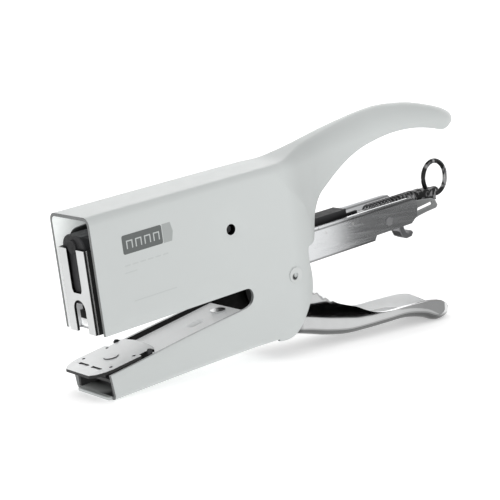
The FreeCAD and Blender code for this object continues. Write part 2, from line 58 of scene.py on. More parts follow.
# ------------------------------------------------------------------ curves
def cr(tab, x):
    "smooth curve through a table of (x, value)"
    n = len(tab)
    if x <= tab[0][0]:
        return tab[0][1]
    if x >= tab[-1][0]:
        return tab[-1][1]
    for i in range(n - 1):
        x0, v0 = tab[i]; x1, v1 = tab[i + 1]
        if x <= x1:
            h = x1 - x0
            s = (v1 - v0) / h
            sa = (v0 - tab[i - 1][1]) / (x0 - tab[i - 1][0]) if i > 0 else s
            sb = (tab[i + 2][1] - v1) / (tab[i + 2][0] - x1) if i < n - 2 else s
            ha = x0 - tab[i - 1][0] if i > 0 else h
            hb = tab[i + 2][0] - x1 if i < n - 2 else h
            m0 = (sa * h + s * ha) / (h + ha)
            m1 = (s * hb + sb * h) / (h + hb)
            t = (x - x0) / h
            return ((2 * t ** 3 - 3 * t * t + 1) * v0 + (t ** 3 - 2 * t * t + t) * h * m0
                    + (-2 * t ** 3 + 3 * t * t) * v1 + (t ** 3 - t * t) * h * m1)

def spline(pts, step, closed=False):
    "2-D points on a centripetal spline through pts, about step apart, ends kept"
    P = [Vector(p) for p in pts]
    out = []
    n = len(P)
    for i in range(n - 1):
        p0 = P[i - 1] if i > 0 else P[i] * 2 - P[i + 1]
        p1, p2 = P[i], P[i + 1]
        p3 = P[i + 2] if i + 2 < n else P[i + 1] * 2 - P[i]
        t0 = 0.0
        t1 = t0 + max((p1 - p0).length, 1e-6) ** 0.5
        t2 = t1 + max((p2 - p1).length, 1e-6) ** 0.5
        t3 = t2 + max((p3 - p2).length, 1e-6) ** 0.5
        k = max(1, int(round((p2 - p1).length / step)))
        for j in range(k):
            t = t1 + (t2 - t1) * j / k
            a1 = p0 * ((t1 - t) / (t1 - t0)) + p1 * ((t - t0) / (t1 - t0))
            a2 = p1 * ((t2 - t) / (t2 - t1)) + p2 * ((t - t1) / (t2 - t1))
            a3 = p2 * ((t3 - t) / (t3 - t2)) + p3 * ((t - t2) / (t3 - t2))
            b1 = a1 * ((t2 - t) / (t2 - t0)) + a2 * ((t - t0) / (t2 - t0))
            b2 = a2 * ((t3 - t) / (t3 - t1)) + a3 * ((t - t1) / (t3 - t1))
            out.append(b1 * ((t2 - t) / (t2 - t1)) + b2 * ((t - t1) / (t2 - t1)))
    out.append(P[-1])
    return [(p.x, p.y) for p in out]

def line(a, b, step):
    k = max(1, int(round(math.hypot(b[0] - a[0], b[1] - a[1]) / step)))
    return [(a[0] + (b[0] - a[0]) * i / k, a[1] + (b[1] - a[1]) * i / k) for i in range(k + 1)]

def chain(*runs):
    "joined runs of points, without the doubled ends"
    out = []
    for r in runs:
        for p in r:
            if not out or math.hypot(p[0] - out[-1][0], p[1] - out[-1][1]) > 1e-4:
                out.append((float(p[0]), float(p[1])))
    if math.hypot(out[0][0] - out[-1][0], out[0][1] - out[-1][1]) < 1e-4:
        out.pop()
    return out

def inside(pts, loop):
    x, y = pts[:, 0], pts[:, 1]
    res = np.zeros(len(pts), bool)
    n = len(loop)
    for i in range(n):
        x1, y1 = loop[i]; x2, y2 = loop[(i + 1) % n]
        if y1 == y2:
            continue
        c = ((y1 > y) != (y2 > y)) & (x < (x2 - x1) * (y - y1) / (y2 - y1) + x1)
        res ^= c
    return res

def seg_dist(pts, loop):
    d = np.full(len(pts), 1e9)
    n = len(loop)
    for i in range(n):
        a = np.array(loop[i]); b = np.array(loop[(i + 1) % n])
        ab = b - a
        t = np.clip(((pts - a) @ ab) / max(ab @ ab, 1e-12), 0, 1)
        d = np.minimum(d, np.hypot(*(pts - a - t[:, None] * ab).T))
    return d

def mesh2d(outer, holes=(), zones=()):
    """triangles over a 2-D outline with holes; zones = (x0, x1, y0, y1, spacing) of inner points"""
    co = list(outer); ed = [(i, (i + 1) % len(outer)) for i in range(len(outer))]
    for h in holes:
        b = len(co)
        co += list(h); ed += [(b + i, b + (i + 1) % len(h)) for i in range(len(h))]
    grid = []
    for x0, x1, y0, y1, s in zones:
        rows = int((y1 - y0) / (s * 0.866)) + 1
        for j in range(rows):
            y = y0 + j * s * 0.866
            off = 0.5 * s if j % 2 else 0.0
            x = x0 + off
            while x < x1:
                grid.append((x, y, s)); x += s
    if grid:
        g = np.array(grid)
        ok = inside(g[:, :2], outer)
        for h in holes:
            ok &= ~inside(g[:, :2], h)
        d = seg_dist(g[:, :2], outer)
        for h in holes:
            d = np.minimum(d, seg_dist(g[:, :2], h))
        ok &= d > 0.6 * g[:, 2]
        co += [tuple(p) for p in g[ok][:, :2]]
    v, e, f, _, _, _ = delaunay_2d_cdt([Vector(p) for p in co], ed, [], 0, 1e-5)
    v = [(p.x, p.y) for p in v]
    f = [tuple(t) for t in f]
    cen = np.array([[sum(v[i][0] for i in t) / 3.0, sum(v[i][1] for i in t) / 3.0] for t in f])
    ok = inside(cen, outer)
    for h in holes:
        ok &= ~inside(cen, h)
    return v, [t for t, k in zip(f, ok) if k]

class Sheet:
    def __init__(self):
        self.v = []; self.f = []; self.m = []
    def add(self, pts, faces, ref, mat=0):
        b = len(self.v)
        P = [Vector(p) for p in pts]
        self.v += P
        for f in faces:
            q = [P[i] for i in f]
            n = Vector((0, 0, 0)); c = Vector((0, 0, 0))
            for i in range(len(q)):
                n += q[i].cross(q[(i + 1) % len(q)]); c += q[i]
            c /= len(q)
            if n.length < 1e-12:
                continue
            r = ref(c) if callable(ref) else Vector(ref)
            ids = [b + i for i in f]
            if n.dot(r) < 0:
                ids.reverse()
            self.f.append(ids); self.m.append(mat)
    def grid(self, rows, ref, mat=0, mirror=False):
        n, m = len(rows), len(rows[0])
        pts = [p for r in rows for p in r]
        faces = [(i * m + j, i * m + j + 1, (i + 1) * m + j + 1, (i + 1) * m + j) for i in range(n - 1) for j in range(m - 1)]
        self.add(pts, faces, ref, mat)
        if mirror:
            self.add([(x, -y, z) for x, y, z in pts], faces,
                     (lambda c: Vector((1, -1, 1)) * ref(Vector((c.x, -c.y, c.z)))) if callable(ref) else (ref[0], -ref[1], ref[2]), mat)
    def both(self, pts, faces, ref, mat=0):
        self.add(pts, faces, ref, mat)
        self.add([(x, -y, z) for x, y, z in pts], faces, (ref[0], -ref[1], ref[2]), mat)
    def obj(self, name, mats, merge=0.01, smooth=True):
        me = bpy.data.meshes.new(name)
        me.from_pydata([R(*p) for p in self.v], [], self.f)
        bm = bmesh.new(); bm.from_mesh(me)
        for i, f in enumerate(bm.faces):
            f.material_index = self.m[i]
        if merge:
            bmesh.ops.remove_doubles(bm, verts=bm.verts, dist=merge / 1000.0)
        bmesh.ops.dissolve_degenerate(bm, edges=bm.edges, dist=1e-7)
        loose = [v for v in bm.verts if not v.link_faces]
        bmesh.ops.delete(bm, geom=loose, context="VERTS")
        for f in bm.faces:
            f.smooth = smooth
        bm.to_mesh(me); bm.free()
        o = bpy.data.objects.new(name, me)
        scene.collection.objects.link(o)
        for m in mats:
            me.materials.append(m)
        return o

def solidify(o, t, off=-1.0, rim_mat=0):
    m = o.modifiers.new("thick", "SOLIDIFY")
    m.thickness = t / 1000.0; m.offset = off; m.use_even_offset = True; m.use_quality_normals = True
    m.material_offset_rim = rim_mat
    return m

def bevel(o, w, seg=2, angle=40.0, weld=None):
    if weld:
        k = o.modifiers.new("weld", "WELD"); k.merge_threshold = weld
    m = o.modifiers.new("edge", "BEVEL")
    m.width = w / 1000.0; m.segments = seg; m.limit_method = "ANGLE"; m.angle_limit = math.radians(angle)
    m.use_clamp_overlap = True; m.harden_normals = False; m.miter_outer = "MITER_ARC"
    return m

def wn(o):
    m = o.modifiers.new("normals", "WEIGHTED_NORMAL")
    m.keep_sharp = True; m.weight = 60
    return m

# ------------------------------------------------------------------ materials
def nodes_of(name):
    m = bpy.data.materials.new(name)
    m.use_nodes = True
    nt = m.node_tree
    b = nt.nodes["Principled BSDF"]
    return m, nt, b

def add(nt, kind, **kw):
    n = nt.nodes.new(kind)
    for k, v in kw.items():
        setattr(n, k, v)
    return n

def coords(nt):
    return add(nt, "ShaderNodeTexCoord").outputs["Object"]

def noise_tex(nt, vec, scale, detail=3.0, rough=0.5, stretch=None):
    if stretch:
        mp = add(nt, "ShaderNodeMapping")
        mp.inputs["Scale"].default_value = stretch
        mp.inputs["Rotation"].default_value = (0, TH, 0)
        nt.links.new(vec, mp.inputs["Vector"]); vec = mp.outputs["Vector"]
    n = add(nt, "ShaderNodeTexNoise")
    n.inputs["Scale"].default_value = scale
    n.inputs["Detail"].default_value = detail
    n.inputs["Roughness"].default_value = rough
    nt.links.new(vec, n.inputs["Vector"])
    return n.outputs["Fac"]

def ramp(nt, fac, stops):
    r = add(nt, "ShaderNodeValToRGB")
    e = r.color_ramp.elements
    while len(e) < len(stops):
        e.new(0.5)
    for k, (p, c) in enumerate(stops):
        e[k].position = p
        e[k].color = (c[0], c[1], c[2], 1.0) if isinstance(c, (tuple, list)) else (c, c, c, 1.0)
    nt.links.new(fac, r.inputs["Fac"])
    return r.outputs["Color"]

def rng(nt, fac, a, b, lo=0.3, hi=0.7):
    r = add(nt, "ShaderNodeMapRange")
    r.inputs["From Min"].default_value = lo; r.inputs["From Max"].default_value = hi
    r.inputs["To Min"].default_value = a; r.inputs["To Max"].default_value = b
    nt.links.new(fac, r.inputs["Value"])
    return r.outputs["Result"]

def bump(nt, b, height, strength, dist):
    n = add(nt, "ShaderNodeBump")
    n.inputs["Strength"].default_value = strength
    n.inputs["Distance"].default_value = dist
    nt.links.new(height, n.inputs["Height"])
    nt.links.new(n.outputs["Normal"], b.inputs["Normal"])
    return n

def srgb(r, g, b):
    def f(c):
        c /= 255.0
        return c / 12.92 if c <= 0.04045 else ((c + 0.055) / 1.055) ** 2.4
    return (f(r), f(g), f(b))

def mix_col(nt, fac, a, b):
    m = add(nt, "ShaderNodeMix", data_type="RGBA")
    nt.links.new(fac, m.inputs["Factor"])
    for s, c in ((m.inputs["A"], a), (m.inputs["B"], b)):
        if isinstance(c, (tuple, list)):
            s.default_value = (c[0], c[1], c[2], 1.0)
        else:
            nt.links.new(c, s)
    return m.outputs["Result"]

def edge_wear(nt, amount=0.5):
    "brighter along the sheet's edges"
    g = add(nt, "ShaderNodeNewGeometry")
    return ramp(nt, g.outputs["Pointiness"], [(0.50, 0.0), (0.56, amount)])

def paint(name, col, var=0.03, rough=0.42, coat=0.25, peel=0.10, wear=1.25):
    m, nt, b = nodes_of(name)
    v = coords(nt)
    n1 = noise_tex(nt, v, 14.0, 4.0, 0.55)
    n2 = noise_tex(nt, v, 900.0, 2.0, 0.5)
    n3 = noise_tex(nt, v, 240.0, 3.0, 0.6)
    lo = tuple(c * (1 - var) for c in col); hi = tuple(min(1, c * (1 + var)) for c in col)
    base = ramp(nt, n1, [(0.3, lo), (0.7, hi)])
    w = edge_wear(nt, 0.35)
    out = mix_col(nt, w, base, tuple(min(1.0, c * wear) for c in col))
    nt.links.new(out, b.inputs["Base Color"])
    nt.links.new(rng(nt, n3, rough - 0.04, rough + 0.05), b.inputs["Roughness"])
    b.inputs["Coat Weight"].default_value = coat
    b.inputs["Coat Roughness"].default_value = 0.18
    b.inputs["IOR"].default_value = 1.48
    bump(nt, b, n2, peel, 0.00006)
    return m

def metal(name, col, rough=0.2, spread=0.05, brush=None, grain=1600.0, bump_s=0.05, dist=0.00003, dirt=0.0, metallic=1.0):
    m, nt, b = nodes_of(name)
    v = coords(nt)
    n1 = noise_tex(nt, v, 45.0, 4.0, 0.6)
    n2 = noise_tex(nt, v, grain, 3.0, 0.6, stretch=brush)
    lo = tuple(c * (0.93 - dirt) for c in col); hi = tuple(min(1, c * 1.04) for c in col)
    c1 = ramp(nt, n1, [(0.32, lo), (0.66, hi)])
    if brush:
        st = ramp(nt, n2, [(0.35, tuple(c * 0.90 for c in col)), (0.65, tuple(min(1, c * 1.06) for c in col))])
        half = add(nt, "ShaderNodeMix", data_type="RGBA")
        half.inputs["Factor"].default_value = 0.5
        nt.links.new(c1, half.inputs["A"]); nt.links.new(st, half.inputs["B"])
        c1 = half.outputs["Result"]
    nt.links.new(c1, b.inputs["Base Color"])
    b.inputs["Metallic"].default_value = metallic
    nt.links.new(rng(nt, n2 if brush else n1, rough, rough + spread), b.inputs["Roughness"])
    bump(nt, b, n2, bump_s, dist)
    return m

def black(name, col=(0.012, 0.012, 0.013), rough=0.38, grain=700.0, coat=0.2):
    m, nt, b = nodes_of(name)
    v = coords(nt)
    n1 = noise_tex(nt, v, 60.0, 4.0, 0.6)
    n2 = noise_tex(nt, v, grain, 3.0, 0.6)
    w = edge_wear(nt, 0.5)
    base = ramp(nt, n1, [(0.3, tuple(c * 0.7 for c in col)), (0.7, tuple(c * 1.5 for c in col))])
    nt.links.new(mix_col(nt, w, base, (0.10, 0.10, 0.105)), b.inputs["Base Color"])
    nt.links.new(rng(nt, n2, rough - 0.08, rough + 0.10), b.inputs["Roughness"])
    b.inputs["Coat Weight"].default_value = coat
    bump(nt, b, n2, 0.12, 0.00004)
    return m

def axis_mm(nt, v, dx, dz):
    "position along a direction of the body frame, in mm"
    d = add(nt, "ShaderNodeVectorMath", operation="DOT_PRODUCT")
    ax, az_ = dx * CT - dz * ST, dx * ST + dz * CT
    nt.links.new(v, d.inputs[0]); d.inputs[1].default_value = (ax * 1000, 0, az_ * 1000)
    a = add(nt, "ShaderNodeMath", operation="ADD")
    nt.links.new(d.outputs["Value"], a.inputs[0]); a.inputs[1].default_value = -(SX * ax + LIFT * az_)
    return a.outputs["Value"]

def rescale(nt, b, factor_socket, lo=0.3):
    "multiply the base colour by a factor that runs from lo to 1"
    old = b.inputs["Base Color"].links[0].from_socket
    m = add(nt, "ShaderNodeMix", data_type="RGBA", blend_type="MULTIPLY")
    m.inputs["Factor"].default_value = 1.0
    nt.links.new(old, m.inputs["A"])
    nt.links.new(ramp(nt, factor_socket, [(0.0, lo), (1.0, 1.0)]), m.inputs["B"])
    nt.links.new(m.outputs["Result"], b.inputs["Base Color"])

M_BODY = paint("body_satin", srgb(207, 211, 210), var=0.012, wear=1.02)
_nt = M_BODY.node_tree; _b = _nt.nodes["Principled BSDF"]
# painted shade: the body's colour is darkened along its length, most across the dish at X 94 to 104 and a little at the
# nose and the grip's end
rescale(_nt, _b, ramp(_nt, rng(_nt, axis_mm(_nt, coords(_nt), 1, 0), 0.0, 1.0, 0.0, 190.0), [(0.0, 0.93), (0.25, 0.97), (0.45, 1.0), (0.495, 0.88), (0.545, 0.87), (0.60, 0.92), (0.72, 0.98), (0.95, 0.92)]), 0.0)
M_CHROME = metal("polished_chrome", (0.86, 0.87, 0.87), rough=0.05, spread=0.05, grain=500.0, bump_s=0.03, dist=0.00002)
M_MAG = metal("brushed_channel_steel", (0.66, 0.67, 0.68), rough=0.20, spread=0.10, brush=(60, 900, 900), grain=1.0, bump_s=0.06)
_nt = M_MAG.node_tree; _b = _nt.nodes["Principled BSDF"]
# painted shade: the channel's colour drops to about a third below Z -40, and to about 0.4 in a thin line at Z -29.7 to
# -29.2, the shadow under the top bead
_z = axis_mm(_nt, coords(_nt), 0, 1)
rescale(_nt, _b, ramp(_nt, rng(_nt, _z, 0.0, 1.0, -46.0, -28.0), [(0.0, 0.0), (0.300, 0.06), (0.330, 1.0), (0.890, 1.0), (0.905, 0.12), (0.932, 0.12), (0.945, 1.0)]), 0.35)
M_HEAD = metal("head_plate_steel", (0.62, 0.63, 0.63), rough=0.34, spread=0.06, grain=700.0, bump_s=0.03)
_nt = M_HEAD.node_tree; _b = _nt.nodes["Principled BSDF"]
# painted shade: faces of the head plate that do not face the nose are darkened almost to black
_g = add(_nt, "ShaderNodeNewGeometry")
_d = add(_nt, "ShaderNodeVectorMath", operation="DOT_PRODUCT")
_nt.links.new(_g.outputs["True Normal"], _d.inputs[0]); _d.inputs[1].default_value = (-CT, 0, -ST)
rescale(_nt, _b, rng(_nt, _d.outputs["Value"], 0.0, 1.0, 0.3, 0.8), 0.03)
M_BRIGHT = metal("bright_plate_steel", (0.80, 0.81, 0.81), rough=0.24, spread=0.10, brush=(90, 90, 900), grain=1.0, bump_s=0.05)
M_BED = metal("nickel_bed", (0.74, 0.75, 0.75), rough=0.45, spread=0.10, grain=900.0, bump_s=0.06, metallic=0.15)
# painted light: the bed glows faintly, standing in for light reaching into the throat
M_BED.node_tree.nodes["Principled BSDF"].inputs["Emission Color"].default_value = (1, 1, 1, 1)
M_BED.node_tree.nodes["Principled BSDF"].inputs["Emission Strength"].default_value = 0.33
M_RIVET = metal("rivet_steel", (0.72, 0.73, 0.73), rough=0.25, spread=0.12, grain=1400.0, bump_s=0.08)
M_ZINC = metal("zinc_bracket", (0.60, 0.61, 0.61), rough=0.28, spread=0.14, grain=350.0, bump_s=0.10, dirt=0.06)
M_SPRING = metal("dark_spring_wire", (0.17, 0.17, 0.175), rough=0.28, spread=0.12, grain=2200.0, bump_s=0.10)
M_RSPRING = metal("spring_wire", (0.42, 0.42, 0.42), rough=0.25, spread=0.12, grain=2200.0, bump_s=0.10)
M_BLACK = black("black_oxide", (0.0025, 0.0025, 0.0028), rough=0.50, coat=0.0)
M_BLACK.node_tree.nodes["Principled BSDF"].inputs["Specular IOR Level"].default_value = 0.22
M_BLACK.node_tree.nodes["Principled BSDF"].inputs["Specular IOR Level"].default_value = 0.12

def inner_painted_light(name):
    "the sheet's inner side: light in the upper jaw, darkened in the throat and the tail of the body"
    m, nt, b = nodes_of(name)
    v = coords(nt)
    def along(dx, dz, off):
        d = add(nt, "ShaderNodeVectorMath", operation="DOT_PRODUCT")
        nt.links.new(v, d.inputs[0]); d.inputs[1].default_value = (dx * 1000, 0, dz * 1000)
        a = add(nt, "ShaderNodeMath", operation="ADD")
        nt.links.new(d.outputs["Value"], a.inputs[0]); a.inputs[1].default_value = off
        return a.outputs["Value"]
    bx_ = along(CT, ST, -SX * CT - LIFT * ST)
    bz_ = along(-ST, CT, SX * ST - LIFT * CT)
    # painted shade: masks that darken the inside deeper in the throat, towards the tail and on the near side
    low = rng(nt, bz_, 1.0, 0.0, -42.5, -40.5)
    deep = rng(nt, bx_, 0.0, 1.0, 6.0, 34.0)
    deep_up = rng(nt, bx_, 0.0, 1.0, 14.0, 60.0)
    n1 = noise_tex(nt, v, 30.0, 4.0, 0.55)
    n2 = noise_tex(nt, v, 700.0, 3.0, 0.6)
    light = ramp(nt, n1, [(0.3, srgb(205, 208, 207)), (0.7, srgb(214, 216, 216))])
    dim = ramp(nt, n1, [(0.3, srgb(186, 189, 188)), (0.7, srgb(198, 201, 200))])
    dark = ramp(nt, n1, [(0.3, (0.006, 0.006, 0.006)), (0.7, (0.012, 0.012, 0.012))])
    sy = add(nt, "ShaderNodeSeparateXYZ"); nt.links.new(v, sy.inputs[0])
    near = rng(nt, sy.outputs["Y"], 1.0, 0.0, -0.006, 0.0)
    dd = add(nt, "ShaderNodeMath", operation="MAXIMUM")
    nt.links.new(rng(nt, bx_, 0.0, 1.0, 0.5, 6.5), dd.inputs[0]); nt.links.new(near, dd.inputs[1])
    lowc = mix_col(nt, dd.outputs["Value"], dim, dark)
    upc = mix_col(nt, deep_up, light, dark)
    col = mix_col(nt, low, upc, lowc)
    nt.links.new(col, b.inputs["Base Color"])
    nt.links.new(col, b.inputs["Emission Color"])
    # painted light: the front of the upper jaw's inside glows in its own colour
    glow = rng(nt, bx_, 0.80, 0.0, 3.0, 20.0)
    upm = add(nt, "ShaderNodeMath", operation="MULTIPLY")
    nt.links.new(glow, upm.inputs[0]); nt.links.new(rng(nt, bz_, 0.05, 1.0, -42.5, -40.5), upm.inputs[1])
    nt.links.new(upm.outputs["Value"], b.inputs["Emission Strength"])
    nt.links.new(rng(nt, n2, 0.5, 0.62), b.inputs["Roughness"])
    b.inputs["Specular IOR Level"].default_value = 0.3
    bump(nt, b, n2, 0.12, 0.00005)
    return m
M_IN = inner_painted_light("body_inside")
def edge_painted_shade(name):
    """sheet edges with painted shade: dark where they face the nose, bright where they face up or back"""
    m, nt, b = nodes_of(name)
    v = coords(nt)
    g = add(nt, "ShaderNodeNewGeometry")
    d = add(nt, "ShaderNodeVectorMath", operation="DOT_PRODUCT")
    nt.links.new(g.outputs["True Normal"], d.inputs[0]); d.inputs[1].default_value = (-CT, 0, -ST)
    # painted shade on the edges that face the nose
    front = rng(nt, d.outputs["Value"], 0.0, 1.0, 0.45, 0.75)
    n1 = noise_tex(nt, v, 60.0, 4.0, 0.6)
    n2 = noise_tex(nt, v, 900.0, 3.0, 0.6)
    lite = ramp(nt, n1, [(0.3, srgb(206, 208, 208)), (0.7, srgb(222, 224, 224))])
    dark = ramp(nt, n1, [(0.3, srgb(96, 98, 98)), (0.7, srgb(116, 118, 118))])
    nt.links.new(mix_col(nt, front, lite, dark), b.inputs["Base Color"])
    nt.links.new(rng(nt, n2, 0.34, 0.46), b.inputs["Roughness"])
    bump(nt, b, n2, 0.10, 0.00004)
    return m
M_RIM = edge_painted_shade("sheet_edge")
M_CORE = metal("core_steel", (0.84, 0.85, 0.85), rough=0.34, spread=0.10, grain=900.0, bump_s=0.08)
_nt = M_CORE.node_tree; _b = _nt.nodes["Principled BSDF"]
# painted light: the core's front face, ahead of X 3, glows in its own colour; above Z -37.3 the colour is taken almost
# to black
_b.inputs["Emission Color"].default_value = (1, 1, 1, 1)
_nt.links.new(rng(_nt, axis_mm(_nt, coords(_nt), 1, 0), 0.75, 0.0, 2.6, 3.0), _b.inputs["Emission Strength"])
rescale(_nt, _b, rng(_nt, axis_mm(_nt, coords(_nt), 0, 1), 1.0, 0.0, -37.7, -37.3), 0.02)
_nt.links.new(_b.inputs["Base Color"].links[0].from_socket, _b.inputs["Emission Color"])
M_HOOK = metal("hook_steel", (0.34, 0.34, 0.35), rough=0.26, spread=0.12, grain=700.0, bump_s=0.08)
M_ENDP = metal("end_piece_steel", (0.50, 0.50, 0.505), rough=0.34, spread=0.2, grain=260.0, bump_s=0.35, dist=0.0001, dirt=0.4)

def painted_shade_spots(mat, spots, lo):
    """painted shade: darken small round spots, each (x, y, z, radius) in the body frame (mm)"""
    nt = mat.node_tree; b = nt.nodes["Principled BSDF"]; v = coords(nt)
    for x, y, z, r in spots:
        q = R(x, y, z)
        d = add(nt, "ShaderNodeVectorMath", operation="DISTANCE")
        nt.links.new(v, d.inputs[0]); d.inputs[1].default_value = q
        rescale(nt, b, rng(nt, d.outputs["Value"], 0.0, 1.0, r * 0.00075, r * 0.00115), lo)

def facing(nt, dx, dy, dz, a, bb):
    "0 to 1 as the surface turns to a direction of the body frame"
    g = add(nt, "ShaderNodeNewGeometry")
    d = add(nt, "ShaderNodeVectorMath", operation="DOT_PRODUCT")
    nt.links.new(g.outputs["True Normal"], d.inputs[0]); d.inputs[1].default_value = DR(dx, dy, dz)
    return rng(nt, d.outputs["Value"], 0.0, 1.0, a, bb)

M_PLATE = metal("anvil_plate_steel", (0.74, 0.75, 0.75), rough=0.36, spread=0.06, grain=500.0, bump_s=0.03, metallic=0.55)
# painted shade: faces of the plate that do not face up are darkened almost to black, and the pockets at its front get
# dark spots
rescale(M_PLATE.node_tree, M_PLATE.node_tree.nodes["Principled BSDF"], facing(M_PLATE.node_tree, 0, 0, 1, 0.35, 0.8), 0.03)
painted_shade_spots(M_PLATE, [(-0.5, 5.9, -52.6, 0.9), (-0.5, -5.9, -52.6, 0.9), (-0.5, 1.6, -52.6, 0.6), (-0.5, -1.6, -52.6, 0.6)], 0.10)
M_STUD = metal("stud_steel", srgb(214, 217, 216), rough=0.42, spread=0.08, grain=1400.0, bump_s=0.06, metallic=0.15)
# painted shade: a dark spot in each stud's recess
painted_shade_spots(M_STUD, [(84.35, -12.3, -42.45, 1.25), (84.35, 12.3, -42.45, 1.25)], 0.04)
def inner_mask(nt, lim):
    "1 on faces that look in towards the middle plane, at more than lim mm from it"
    v = coords(nt)
    sp = add(nt, "ShaderNodeSeparateXYZ"); nt.links.new(v, sp.inputs[0])
    g = add(nt, "ShaderNodeNewGeometry")
    sn = add(nt, "ShaderNodeSeparateXYZ"); nt.links.new(g.outputs["True Normal"], sn.inputs[0])
    m = add(nt, "ShaderNodeMath", operation="MULTIPLY")
    nt.links.new(sp.outputs["Y"], m.inputs[0]); nt.links.new(sn.outputs["Y"], m.inputs[1])
    return rng(nt, m.outputs["Value"], 1.0, 0.0, -lim / 1000 - 0.0004, -lim / 1000 + 0.0004)

def inner_painted_glow(mat, lim, glow, metallic, rough):
    """inner walls: less metallic and rougher than outside, with a painted glow"""
    nt = mat.node_tree; b = nt.nodes["Principled BSDF"]
    k = inner_mask(nt, lim)
    nt.links.new(rng(nt, k, b.inputs["Metallic"].default_value, metallic), b.inputs["Metallic"])
    old = b.inputs["Roughness"].links[0].from_socket if b.inputs["Roughness"].links else None
    r = add(nt, "ShaderNodeMath", operation="MAXIMUM")
    if old is not None:
        nt.links.new(old, r.inputs[0])
    nt.links.new(rng(nt, k, 0.0, rough), r.inputs[1])
    nt.links.new(r.outputs["Value"], b.inputs["Roughness"])
    b.inputs["Emission Color"].default_value = (1, 1, 1, 1)
    nt.links.new(rng(nt, k, 0.0, glow), b.inputs["Emission Strength"])
    return k

# painted light: the channel's and the lever's inner walls glow
inner_painted_glow(M_MAG, 5.0, 0.35, 0.1, 0.5)
_k = inner_painted_glow(M_CHROME, 4.0, 0.10, 0.1, 0.5)
_nt = M_CHROME.node_tree; _b = _nt.nodes["Principled BSDF"]
# painted shade on the chrome lever: darker outside towards the tail beyond X 134, on faces turned down and on faces
# turned back
_x = rng(_nt, axis_mm(_nt, coords(_nt), 1, 0), 1.0, 0.0, 134.0, 152.0)
_m = add(_nt, "ShaderNodeMath", operation="MAXIMUM")
_nt.links.new(_x, _m.inputs[0]); _nt.links.new(_k, _m.inputs[1])
rescale(_nt, _b, _m.outputs["Value"], 0.74)
_f = add(_nt, "ShaderNodeMath", operation="SUBTRACT"); _f.inputs[0].default_value = 1.0
_nt.links.new(facing(_nt, 0, 0, -1, 0.22, 0.55), _f.inputs[1])
rescale(_nt, _b, _f.outputs["Value"], 0.18)
_f = add(_nt, "ShaderNodeMath", operation="SUBTRACT"); _f.inputs[0].default_value = 1.0
_nt.links.new(facing(_nt, 1, 0, 0, 0.60, 0.95), _f.inputs[1])
rescale(_nt, _b, _f.outputs["Value"], 0.55)
# painted shade: the lever's arms inside the body are darkened to black and their glow is taken away
_arm = rng(_nt, axis_mm(_nt, coords(_nt), 1, 0), 0.0, 1.0, 84.0, 88.0)
rescale(_nt, _b, _arm, 0.02)
_m = add(_nt, "ShaderNodeMath", operation="MULTIPLY")
_nt.links.new(_b.inputs["Emission Strength"].links[0].from_socket, _m.inputs[0]); _nt.links.new(_arm, _m.inputs[1])
_nt.links.new(_m.outputs["Value"], _b.inputs["Emission Strength"])
# the bed's front edge, under the plate, is in the dark
_nt = M_BED.node_tree; _b = _nt.nodes["Principled BSDF"]
_m = add(_nt, "ShaderNodeMath", operation="MAXIMUM")
_nt.links.new(rng(_nt, axis_mm(_nt, coords(_nt), 1, 0), 0.0, 1.0, 8.0, 12.0), _m.inputs[0])
_nt.links.new(rng(_nt, axis_mm(_nt, coords(_nt), 0, 1), 0.0, 1.0, -54.4, -53.8), _m.inputs[1])
rescale(_nt, _b, _m.outputs["Value"], 0.03)
_nt.links.new(_b.inputs["Base Color"].links[0].from_socket, _b.inputs["Emission Color"])
# painted shade: dark spots on the side hole's inner rim
for _m in (M_RIM, M_IN):
    painted_shade_spots(_m, [(58.0, -11.3, -18.0, 2.9), (58.0, 11.3, -18.0, 2.9)], 0.01)
M_BASE = metal("anvil_base_steel", (0.045, 0.045, 0.047), rough=0.55, spread=0.10, grain=700.0, bump_s=0.08, metallic=0.3)
M_MRIV = metal("bracket_rivet_steel", (0.21, 0.21, 0.215), rough=0.62, spread=0.10, grain=900.0, bump_s=0.05, metallic=0.25)
# painted light: the channel glows faintly in its own colour ahead of X 98, fading out by X 111
_nt = M_MAG.node_tree; _b = _nt.nodes["Principled BSDF"]
_m = add(_nt, "ShaderNodeMath", operation="MAXIMUM")
_nt.links.new(_b.inputs["Emission Strength"].links[0].from_socket, _m.inputs[0])
_nt.links.new(rng(_nt, axis_mm(_nt, coords(_nt), 1, 0), 0.13, 0.0, 98.0, 111.0), _m.inputs[1])
_nt.links.new(_m.outputs["Value"], _b.inputs["Emission Strength"])
_nt.links.new(_b.inputs["Base Color"].links[0].from_socket, _b.inputs["Emission Color"])
M_RING = metal("ring_wire", (0.40, 0.40, 0.405), rough=0.20, spread=0.12, grain=1300.0, bump_s=0.06)
for _m, _sc, _lo in ((M_RING, 380.0, 0.10), (M_ENDP, 520.0, 0.10)):
    _nt = _m.node_tree; _b = _nt.nodes["Principled BSDF"]
    rescale(_nt, _b, rng(_nt, noise_tex(_nt, coords(_nt), _sc, 1.0, 0.5), 0.0, 1.0, 0.50, 0.64), _lo)

